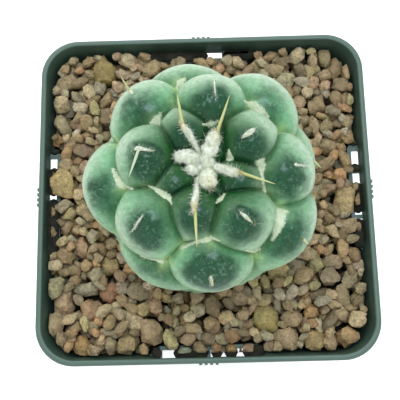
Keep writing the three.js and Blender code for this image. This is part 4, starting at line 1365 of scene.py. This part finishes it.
# %% Landmark stones
LANDMARKS = {
    "olive": dict(at=(107, 73), across=5.4, colour="#8f7d48", long=1.15),
    "round": dict(at=(63.5, 184), across=5.7, colour="#b59d6c", long=1.1),
    "right": dict(at=(343.5, 198), across=4.6, colour="#b39b70", long=1.6),
    "front_yellow": dict(at=(265, 319), across=5.4, colour="#a3925a", long=1.2),
    "left_pink": dict(at=(63, 303), across=4.9, colour="#a98f72", long=1.2),
    "left_corner": dict(at=(53, 325), across=4.2, colour="#ab9674", long=1.4),
    "left_brown": dict(at=(90, 308), across=4.0, colour="#a07f5f"),
    "left_grey": dict(at=(87.5, 289), across=3.8, colour="#a19a82", long=0.6),
    "left_red": dict(at=(109, 294), across=3.4, colour="#96694c"),
    "left_yellow": dict(at=(109, 267), across=4.2, colour="#9c8a5f", long=0.8),
    "left_olive": dict(at=(58, 288), across=3.4, colour="#8f8a6a"),
    "low_gold": dict(at=(82, 345), across=3.6, colour="#a98756"),
    "low_tan": dict(at=(127, 345), across=4.2, colour="#a28d65", long=0.8),
    "low_rough": dict(at=(151, 333), across=5.0, colour="#9d8566"),
    "low_pale": dict(at=(287.5, 338), across=4.7, colour="#ab9272"),
    "low_round": dict(at=(315.5, 339), across=4.3, colour="#a88f5f", long=0.8),
    "right_corner": dict(at=(348, 336), across=4.3, colour="#a98a60"),
    "right_long": dict(at=(335, 261), across=3.8, colour="#a18d72", long=0.6),
    "right_pale": dict(at=(316, 265), across=3.4, colour="#a09669"),
    "right_grey": dict(at=(330, 277), across=4.2, colour="#85765f", long=0.65),
    "right_orange": dict(at=(311, 311), across=3.2, colour="#b08a5e"),
    "right_tan": dict(at=(343, 294), across=3.6, colour="#9a8867", long=1.25),
    "rough": dict(at=(317, 105), across=4.6, colour="#8f7a58"),
    "ledge_left_olive": dict(at=(50.5, 175), across=1.6, colour="#7f7748"),
    "ledge_left_mid": dict(at=(52, 212), across=1.7, colour="#9a8158", long=1.35),
    "ledge_left_low": dict(at=(52.5, 231.5), across=1.6, colour="#a08a66", long=1.35),
    "ledge_right_top": dict(at=(355, 187), across=1.9, colour="#a58f6a", long=1.1),
    "ledge_right_mid": dict(at=(357, 201), across=1.9, colour="#967e58", long=1.4),
    "ledge_right_low": dict(at=(359.5, 226.5), across=1.9, colour="#a3856b", long=1.15),
    "ledge_back_a": dict(at=(227.5, 47), across=1.8, colour="#9a8560"),
    "ledge_back_b": dict(at=(235.5, 46), across=1.7, colour="#a48e6a"),
    "ledge_back_c": dict(at=(243.5, 47), across=1.9, colour="#8e7750"),
    "ledge_front_a": dict(at=(184, 352), across=2.2, colour="#98a08a", long=0.7),
    "ledge_front_b": dict(at=(200, 348), across=2.6, colour="#a58f6c"),
    "ledge_front_c": dict(at=(216, 347.5), across=2.4, colour="#a6805c"),
    "ledge_front_d": dict(at=(231.5, 348), across=2.0, colour="#b0905f"),
    "ledge_front_e": dict(at=(249, 348.5), across=2.0, colour="#a98a6e"),
    "ledge_crumb_a": dict(at=(223.5, 350), across=1.2, colour="#7d6c52"),
    "ledge_crumb_b": dict(at=(240.5, 356), across=1.3, colour="#6f6450"),
    "ledge_crumb_c": dict(at=(213, 351), across=0.9, colour="#8c7a5c"),
}
print("landmark stones:", len(LANDMARKS))

# %% [markdown]
# Landmarks are laid first: those in the bed in a nest that is cleared on the map, and the others
# on their ledges. Then the map is raised over them, so that no poured stone covers them.

# %% Landmark stones in their places
# Where a landmark's middle lies, its half height and lift as shares of its width, how much of its
# footprint is cleared, and how far the nest lies below it.
LANDMARK = dict(level=60.4, thick=0.38, lift_on_ledge=0.4, nest=0.8, sunk=0.5)
KEPT_CLEAR = dict(height=75.0, share=0.85)       # on the map, so that nothing is poured on them

laid = []                        # rows of x, y, z, radius and half height
for name, stone in LANDMARKS.items():
    on_ledge = name.startswith("ledge")
    level = LANDMARK["level"]
    if on_ledge:
        level = LEDGE["top"] + stone["across"] * LANDMARK["lift_on_ledge"]
    x, y, _ = at_height([stone["at"]], level)[0]
    radius, thick = stone["across"] / 2, stone["across"] * LANDMARK["thick"]
    if not on_ledge:
        nest = np.hypot(map_x - x, map_y - y) < radius * LANDMARK["nest"]
        heights[nest] = level - LANDMARK["sunk"] - thick
    laid.append((x, y, drop(x, y, radius, thick), radius, thick))
for x, y, _, radius, _ in laid:
    under_it = np.hypot(map_x - x, map_y - y) < radius * KEPT_CLEAR["share"]
    heights[under_it] = KEPT_CLEAR["height"]
print("heights of the landmarks' middles:", np.round([row[2] for row in laid], 1))

# %% [markdown]
# The rest is poured. Sizes follow a lognormal law, as crushed and sieved stone does. Each stone
# tries thirty places, and takes the lowest that is clear of the wall and the stem. A stone that
# would stand too high is left out. Last come some small ones, pushed right against the wall, where
# the pouring leaves a gap.

# %% Poured stones
POURED = dict(count=1900, tries=30, median=2.5, spread=0.27, smallest=1.5, largest=4.6)
WALL_STONES = dict(count=45, smallest=1.7, largest=3.0, overlap=0.95, clear=0.7)
CLEAR_OF_WALL, CLEAR_OF_STEM = 0.75, 0.8         # in radii: a stone's edge is thinner than its middle
FLATTEST, ROUNDEST = 0.6, 0.85   # a stone's half height as a share of its radius
STEM_EDGE = 17.6                 # radius of the stem where it leaves the grit
FULL = 62.6                      # no poured stone stands higher


def has_room(x, y, radius):
    """Whether a stone clears the pot's walls, the pockets' walls and the stem."""
    pocket = min(abs(x), abs(y)) < LEDGE["span"]
    limit = LEDGE["inner"] if pocket else WALL_AT_TOP
    return (wall_distance(x, y) >= radius * CLEAR_OF_WALL
            and max(abs(x), abs(y)) <= limit - radius * CLEAR_OF_WALL
            and math.hypot(x, y) >= STEM_EDGE + radius * CLEAR_OF_STEM)


for _ in range(POURED["count"]):
    across = rng.lognormal(math.log(POURED["median"]), POURED["spread"])
    radius = 0.5 * np.clip(across, POURED["smallest"], POURED["largest"])
    thick = radius * rng.uniform(FLATTEST, ROUNDEST)
    places = rng.uniform(-WALL_AT_TOP, WALL_AT_TOP, (POURED["tries"], 2))
    rests = [(rest_height(x, y, radius, thick)[0], x, y)
             for x, y in places if has_room(x, y, radius)]
    if rests:
        z, x, y = min(rests)
        if z + thick < FULL:
            laid.append((x, y, drop(x, y, radius, thick), radius, thick))
for _ in range(WALL_STONES["count"]):
    radius = 0.5 * rng.uniform(WALL_STONES["smallest"], WALL_STONES["largest"])
    thick = radius * rng.uniform(FLATTEST, ROUNDEST)
    x, y = rng.uniform(-WALL_AT_TOP, WALL_AT_TOP, 2)
    share = (WALL_AT_TOP - WALL_STONES["overlap"] * radius) / max(abs(x), abs(y))
    x, y = x * share, y * share
    beside_pocket = min(abs(x), abs(y)) > LEDGE["span"] + radius
    if (beside_pocket and wall_distance(x, y) > WALL_STONES["clear"] * radius
            and rest_height(x, y, radius, thick)[0] + thick < FULL):
        laid.append((x, y, drop(x, y, radius, thick), radius, thick))
laid = np.array(laid)
print("stones:", len(laid), "middles from", laid[:, 2].min().round(1), "to", laid[:, 2].max().round(1))

# %% [markdown]
# A stone that leans on the pot's wall is flat there. It could be cut, but it is enough to draw in
# the points that would lie beyond the wall.

# %% Stones against the wall
WALL_GAP = 0.15                  # mm that stones keep from the wall
CORNER_LEVEL = 60.0              # where the wall's corner radius is taken
BEHIND = dict(beside=0.3, under=0.1)     # mm past a pocket's end, and under its ledge


def inside_the_wall(points):
    """Points beyond the inner wall's rounded square go to the nearest place on it, a gap inside
    the wall. Under a ledge the wall is that of the pocket."""
    corner = corner_radius(CORNER_LEVEL) - POT["wall"]
    half = outer_half(np.minimum(points[:, 2], LEDGE["top"])) - POT["wall"] - WALL_GAP
    reach = half - corner
    px = np.maximum(np.abs(points[:, 0]) - reach, 0)
    py = np.maximum(np.abs(points[:, 1]) - reach, 0)
    out = np.hypot(px, py)
    shrink = np.where(out > corner, corner / np.maximum(out, 1e-6), 1)
    kept = points.copy()
    kept[:, 0] = np.sign(points[:, 0]) * (np.minimum(np.abs(points[:, 0]), reach) + px * shrink)
    kept[:, 1] = np.sign(points[:, 1]) * (np.minimum(np.abs(points[:, 1]), reach) + py * shrink)
    pocket = half - inner_recess(points[:, 2])
    for out, side in ((0, 1), (1, 0)):
        behind = np.abs(kept[:, side]) < LEDGE["span"] + BEHIND["beside"]
        behind &= kept[:, 2] < LEDGE["top"] - BEHIND["under"]
        drawn_in = np.sign(kept[:, out]) * np.minimum(np.abs(kept[:, out]), pocket)
        kept[:, out] = np.where(behind, drawn_in, kept[:, out])
    return kept


print("a point 40 mm off the middle is drawn in to", inside_the_wall(np.array([[40, 0, 60.0]]))[0])

# %% [markdown]
# A broken stone has flat faces and worn edges. So each is a ball cut by ten seeded planes, where a
# high power rounds the edges between the planes. Each has only 54 faces, because there are so many,
# and the bump of its finish gives it the rough skin.

# %% The shapes of the stones
STONE = dict(cells=3, planes=10, sharpness=12, nearest_plane=0.68, farthest_corner=1.22, rough=0.095,
             least_long=0.74, most_long=1.34, wide=1.12, high=1.06, tilt=0.25)


def turned(first, second, angle):
    """Two coordinates of each stone's points, turned by its angle."""
    cos, sin = np.cos(angle)[:, None], np.sin(angle)[:, None]
    return first * cos - second * sin, first * sin + second * cos


def stone_shapes(laid):
    """All stones at once. A stone's radius in direction d is the p-norm blend of its planes:
    (sum over planes of max(d . n / h, 0)^p)^(-1/p) and no more than its farthest corner, roughened
    by a random share at each point, stretched to its widths and height, tilted and turned."""
    ball, faces = ball_grid(STONE["cells"])
    count, power = len(laid), STONE["sharpness"]
    normals = unit_vectors(rng.normal(size=(count, STONE["planes"], 3)))
    reach = rng.uniform(STONE["nearest_plane"], 1.0, (count, STONE["planes"]))
    facing = np.maximum(np.einsum("vi,cpi->cvp", ball, normals) / reach[:, None], 0)
    bluntness = np.maximum((facing ** power).sum(axis=2), STONE["farthest_corner"] ** -power)
    size = bluntness ** (-1 / power)
    size *= 1 + STONE["rough"] * rng.normal(size=size.shape).clip(-2, 2)
    long = rng.uniform(STONE["least_long"], STONE["most_long"], count)
    long[:len(LANDMARKS)] = [stone.get("long", 1.0) ** -0.5 for stone in LANDMARKS.values()]
    x, y, z = np.moveaxis(ball[None] * size[..., None], 2, 0)
    x = x * (laid[:, 3] * STONE["wide"] * long)[:, None]
    y = y * (laid[:, 3] * STONE["wide"] / long)[:, None]
    z = z * (laid[:, 4] * STONE["high"])[:, None]
    tilt = rng.normal(0, STONE["tilt"], count)
    turn = rng.uniform(0, 2 * math.pi, count)
    turn[:len(LANDMARKS)] = 0
    x, z = turned(x, z, tilt)
    x, y = turned(x, y, turn)
    points = (np.stack([x, y, z], axis=-1) + laid[:, None, :3]).reshape(-1, 3)
    faces = (faces[None] + np.arange(count)[:, None, None] * len(ball)).reshape(-1, 4)
    return inside_the_wall(points), faces, len(ball)


points, faces, per_stone = stone_shapes(laid)
print("points of each stone:", per_stone)

# %% [markdown]
# Each poured stone draws one of eighteen tans, greys, oranges and olives, and strays from it in
# lightness and in warmth. Landmarks keep their own colour. The last factors make all of them as
# light as dry grit is, once dust and pits have been laid over them.

# %% Stone colours
STONE_COLOURS = ["#a48c68", "#ad9a78", "#b0a07c", "#99805c", "#b8a583", "#937e5c", "#ad9374",
                 "#b38c63", "#a88f66", "#afa274", "#a89b86", "#beb091", "#8c795c", "#9f9076",
                 "#ac8d70", "#9f8c6c", "#b39a75", "#a69574"]
LIGHTNESS_SPREAD, WARMTH_SPREAD = 0.19, 0.035
WARMER = np.array([1, -0.3, -1])         # what warmth does to red, green and blue
LANDMARK_LIGHT = 1.15
DRY_LIGHT = [1.2, 1.19, 1.08]

draws = rng.choice(len(STONE_COLOURS), len(laid))
colours = np.array([linear(STONE_COLOURS[i]) for i in draws])
colours[:, :3] *= rng.normal(1.0, LIGHTNESS_SPREAD, (len(laid), 1)).clip(0.5, 1.4)
colours[:, :3] *= 1 + rng.normal(0, WARMTH_SPREAD, (len(laid), 1)) * WARMER
colours[:len(LANDMARKS)] = [linear(stone["colour"]) for stone in LANDMARKS.values()]
colours[:len(LANDMARKS), :3] *= LANDMARK_LIGHT
colours[:, :3] *= DRY_LIGHT
print("mean colour of the stones, linear:", colours[:, :3].mean(axis=0).round(2))

# %% [markdown]
# Broken pumice and clay are matt, porous and dusty, with no highlight at all. The eye sees a
# mottling of 1 mm, darker pits, and paler dust on top. Real pores run down to 0.1 mm, too fine to
# show, so pits are drawn at 0.7 mm and the rough skin at 0.9 mm.

# %% Porous grit
FACETED = math.radians(40)       # faces of a stone that meet at more than this show an edge

grit_stone, stone_shader = new_material("porous_grit", {"Roughness": 0.92, "IOR": 1.5})
place = add_node(grit_stone, "TexCoord").outputs["Object"]
own = add_node(grit_stone, "Attribute", attribute_name="own_colour").outputs["Color"]
mottle = add_node(grit_stone, "TexNoise",
                  {"Vector": place, "Scale": 1 / (1.1 * MM), "Detail": 8.0, "Roughness": 0.8})
lightness = add_node(grit_stone, "MapRange",
                     {"Value": mottle, "From Min": 0.32, "From Max": 0.68, "To Min": 0.34,
                      "To Max": 1.5})
mottled = add_node(grit_stone, "VectorMath", {0: own, 1: lightness}, operation="MULTIPLY")
pits = add_node(grit_stone, "TexVoronoi", {"Vector": place, "Scale": 1 / (0.7 * MM)})
pitted = add_node(grit_stone, "MapRange",
                  {"Value": pits, "From Min": 0.35, "From Max": 0.05, "To Max": 0.7})
facing = add_node(grit_stone, "NewGeometry").outputs["Normal"]
facing_up = add_node(grit_stone, "SeparateXYZ", {0: facing}).outputs["Z"]
dusty = add_node(grit_stone, "MapRange",
                 {"Value": facing_up, "From Min": 0.3, "From Max": 1.0, "To Max": 0.18})
rough = add_node(grit_stone, "TexNoise",
                 {"Vector": place, "Scale": 1 / (0.9 * MM), "Detail": 6.0, "Roughness": 0.7})
roughened = add_node(grit_stone, "Bump", {"Height": rough, "Strength": 1.0, "Distance": 1.0 * MM})
fill_sockets(stone_shader, {
    "Base Color": coats(grit_stone, mottled, (pitted, "#5a4a34"), (dusty, "#c4b394")),
    "Normal": roughened})

grit = add_mesh("grit_stones", points, [faces], grit_stone,
                dict(own_colour=np.repeat(colours, per_stone, axis=0)))
grit.data.set_sharp_from_angle(angle=FACETED)
settle(grit, "grit_stone", "grit")

# %% [markdown]
# Under the loose stones lies the rest of the fill. It shows only as darkness between them, and
# through the holes in the floor, so it is one lofted bed with an uneven top.

# %% The bed under the stones
BED_GAP = 0.3                                        # mm between the bed and the pot
BED_WAVES = [(0.25, 3.1, 5), (0.2, 1.9, 6)]          # rows of height, wavelength and seed


def bed_rings():
    """The pot's inside, a gap smaller, from the floor to the bed's top, and then in to the stem
    in rings whose height wavers."""
    rows = [lift(square_path(outer_half(z) - POT["wall"] - BED_GAP,
                             corner_radius(z) - POT["wall"] - BED_GAP, inner_recess(z)), z)
            for z in np.linspace(POT["floor"] + BED_GAP, BED, 6)]
    edge = rows[-1]
    for share in np.linspace(0.97, 0.1, 24):
        ring = edge * [share, share, 1]
        level = ring * [1, 1, 0]
        ring[:, 2] += sum(height * ripple(level, wavelength, seed)
                          for height, wavelength, seed in BED_WAVES)
        rows.append(ring)
    return rows


bed_shell = closed_shell(bed_rings())
print("bed:", len(bed_shell[0]), "points")

# %% [markdown]
# Fine silt has washed on to the pot's four ledges and closes most of their slots, and its dark colour
# is painted shade. Where light falls through a slot, the silt is missing. So the open stretches are
# read from the picture, and a low heap fills each stretch between them.

# %% Silt on the ledges
# For each ledge: which way is out, which way it runs, its column or row of pixels in the picture,
# and the open stretches along that.
LEDGES = {
    "left": dict(out=(-1, 0), run=(0, 1), column=53.5, open=[(155, 168), (196.5, 199)]),
    "right": dict(out=(1, 0), run=(0, 1), column=357, open=[(146, 163.5), (173, 182), (213.5, 218.5)]),
    "front": dict(out=(0, -1), run=(1, 0), row=355,
                  open=[(162, 173.5), (209, 211), (223, 224.5), (238, 242.5)]),
    "back": dict(out=(0, 1), run=(1, 0), row=51.5, open=[(208, 223)]),
}
SILT = dict(width=1.35, height=0.5, middle=32.75, end=11.9, step=0.5, sides=12, over=0.02)
CREST = dict(height=0.25, wavelength=2.1, seed=7)
THIN = 0.02                      # the least share of a heap's height


def silt_heap(start, end, out, run):
    """A low heap of silt along a ledge: half an ellipse, whose width and height shrink to nothing
    at both ends, and whose crest wavers."""
    out, run = np.array(out), np.array(run)
    count = max(int((end - start) / SILT["step"]), 3)
    s = np.linspace(start, end, count + 1)
    blunt = np.sqrt(np.clip(1 - (2 * (s - start) / (end - start) - 1) ** 8, THIN, 1))
    angle = np.arange(SILT["sides"]) * 2 * math.pi / SILT["sides"]
    crest = ripple(np.column_stack([s, 0 * s, 0 * s]), CREST["wavelength"], CREST["seed"])
    wave = 1 + CREST["height"] * crest
    wide = SILT["middle"] + SILT["width"] * blunt[:, None] * np.cos(angle)
    high = SILT["height"] * (blunt * wave)[:, None] * np.maximum(np.sin(angle), THIN)
    level = wide[..., None] * out + s[:, None, None] * run
    rings = np.concatenate([level, (LEDGE["top"] + SILT["over"] + high)[..., None]], axis=2)
    right_handed = out[0] * run[1] - out[1] * run[0] > 0
    return closed_shell(rings if right_handed else rings[:, ::-1])


heaps = []
for name, ledge in LEDGES.items():
    ends = [(ledge.get("column", end), ledge.get("row", end)) for end in np.ravel(ledge["open"])]
    openings = np.sort(at_height(ends, LEDGE["top"])[:, :2] @ ledge["run"])
    edges = [-SILT["end"], *openings, SILT["end"]]
    heaps += [silt_heap(start, end, ledge["out"], ledge["run"])
              for start, end in zip(edges[::2], edges[1::2])]
    print("open on the", name, openings.reshape(-1, 2).round(1).tolist())

# %% [markdown]
# The packed grit is painted dark brown, as painted shade between the stones, with lumps of 2 mm whose
# edges are painted darker still.

# %% Packed grit
grit_in_painted_shade, bed_shader = new_material("grit_in_painted_shade", {"Roughness": 0.95})
place = add_node(grit_in_painted_shade, "TexCoord").outputs["Object"]
lumps = add_node(grit_in_painted_shade, "TexVoronoi", {"Vector": place, "Scale": 1 / (2.2 * MM)})
lumpy = add_node(grit_in_painted_shade, "Bump",
                 {"Height": lumps, "Strength": 0.8, "Distance": 1.0 * MM}, invert=True)
# Painted shade: the fill is near-black brown, and darker at the edges of its lumps.
fill_sockets(bed_shader, {"Base Color": coats(grit_in_painted_shade, "#3d3c2c", (lumps, "#12120c")),
                          "Normal": lumpy})

points, sheets = stacked([bed_shell, *heaps])
bed = add_mesh("grit_bed", points, sheets, grit_in_painted_shade)
settle(bed, "grit_stone", "grit")

# %% [markdown]
# ## Floor and light
#
# The plant stands on a table painted matt white. The paint is given a painted glow, so that it stays
# as bright as paper round the pot, and its cloudiness of 4 mm is only just there.

# %% Floor
FLOOR_REACH = 1500

# The table's emission is a painted glow, not a lamp.
glowing_paint, paint_shader = new_material("glowing_white_paint", {
    "Roughness": 0.6, "Emission Strength": 0.42, "Emission Color": "#ffffff"})
place = add_node(glowing_paint, "TexCoord").outputs["Object"]
cloudy = add_node(glowing_paint, "TexNoise", {"Vector": place, "Scale": 1 / (4 * MM), "Detail": 3.0})
fill_sockets(paint_shader, {"Base Color": coats(glowing_paint, "#fbfbfb", (cloudy, "#fdfdfd"))})
points = np.array([(x, y, 0) for y in (-FLOOR_REACH, FLOOR_REACH)
                   for x in (-FLOOR_REACH, FLOOR_REACH)], float)
floor = add_mesh("floor", points, [np.array([[0, 1, 3, 2]])], glowing_paint)

# %% [markdown]
# Soft daylight comes from all sides and least from straight above, where the camera hangs. So the
# world is bright at the horizon and dimmer at the zenith, and a little brighter behind the pot.

# %% Daylight
DAYLIGHT = dict(strength=1.27, from_behind=0.08)
# How far up, from level at 0 to the zenith at 1, and the light there as linear numbers.
SKY_STOPS = [(0.3, (1.0, 1.0, 1.0, 1.0)), (0.95, (0.5, 0.51, 0.52, 1.0))]

world = bpy.data.worlds.new("soft_daylight")
world.use_nodes = True
bpy.context.scene.world = world
where = add_node(world, "TexCoord").outputs["Generated"]
up = add_node(world, "SeparateXYZ", {0: where})
strength = add_node(world, "Math", {0: up.outputs["Y"], 1: DAYLIGHT["from_behind"],
                                              2: DAYLIGHT["strength"]}, operation="MULTIPLY_ADD")
fade = add_node(world, "ValToRGB", {"Fac": up.outputs["Z"]})
for stop, (position, colour) in zip(fade.color_ramp.elements, SKY_STOPS):
    stop.position = position
    stop.color = colour
fill_sockets(world.node_tree.nodes["Background"], {"Strength": strength, "Color": fade})
print("daylight:", DAYLIGHT["strength"], "and at the zenith", SKY_STOPS[1][1][0], "of it")

# %% [markdown]
# Two large soft lamps model the forms: a window behind the left side, and a bluer skylight that
# puts the wax's small highlights on the tips. Their places are in metres.

# %% Lamps
AIM = Vector((0, 0, 0.07))
LAMPS = {
    "window": dict(at=(-0.2, 0.55, 0.6), size=0.6, watts=2.0, colour="#ffffff"),
    "skylight": dict(at=(0.1, 0.12, 0.9), size=0.28, watts=2.5, colour="#d9ecff"),
}
for name, made in LAMPS.items():
    lamp_data = bpy.data.lights.new(name, "AREA")
    lamp_data.shape = "SQUARE"
    lamp_data.size = made["size"]
    lamp_data.energy = made["watts"]
    lamp_data.color = linear(made["colour"])[:3]
    lamp = bpy.data.objects.new(name, lamp_data)
    lamp.location = made["at"]
    lamp.rotation_euler = (AIM - lamp.location).to_track_quat("-Z", "Y").to_euler()
    bpy.context.scene.collection.objects.link(lamp)
bpy.context.scene.view_settings.view_transform = "Standard"
print("lamps:", ", ".join(LAMPS))
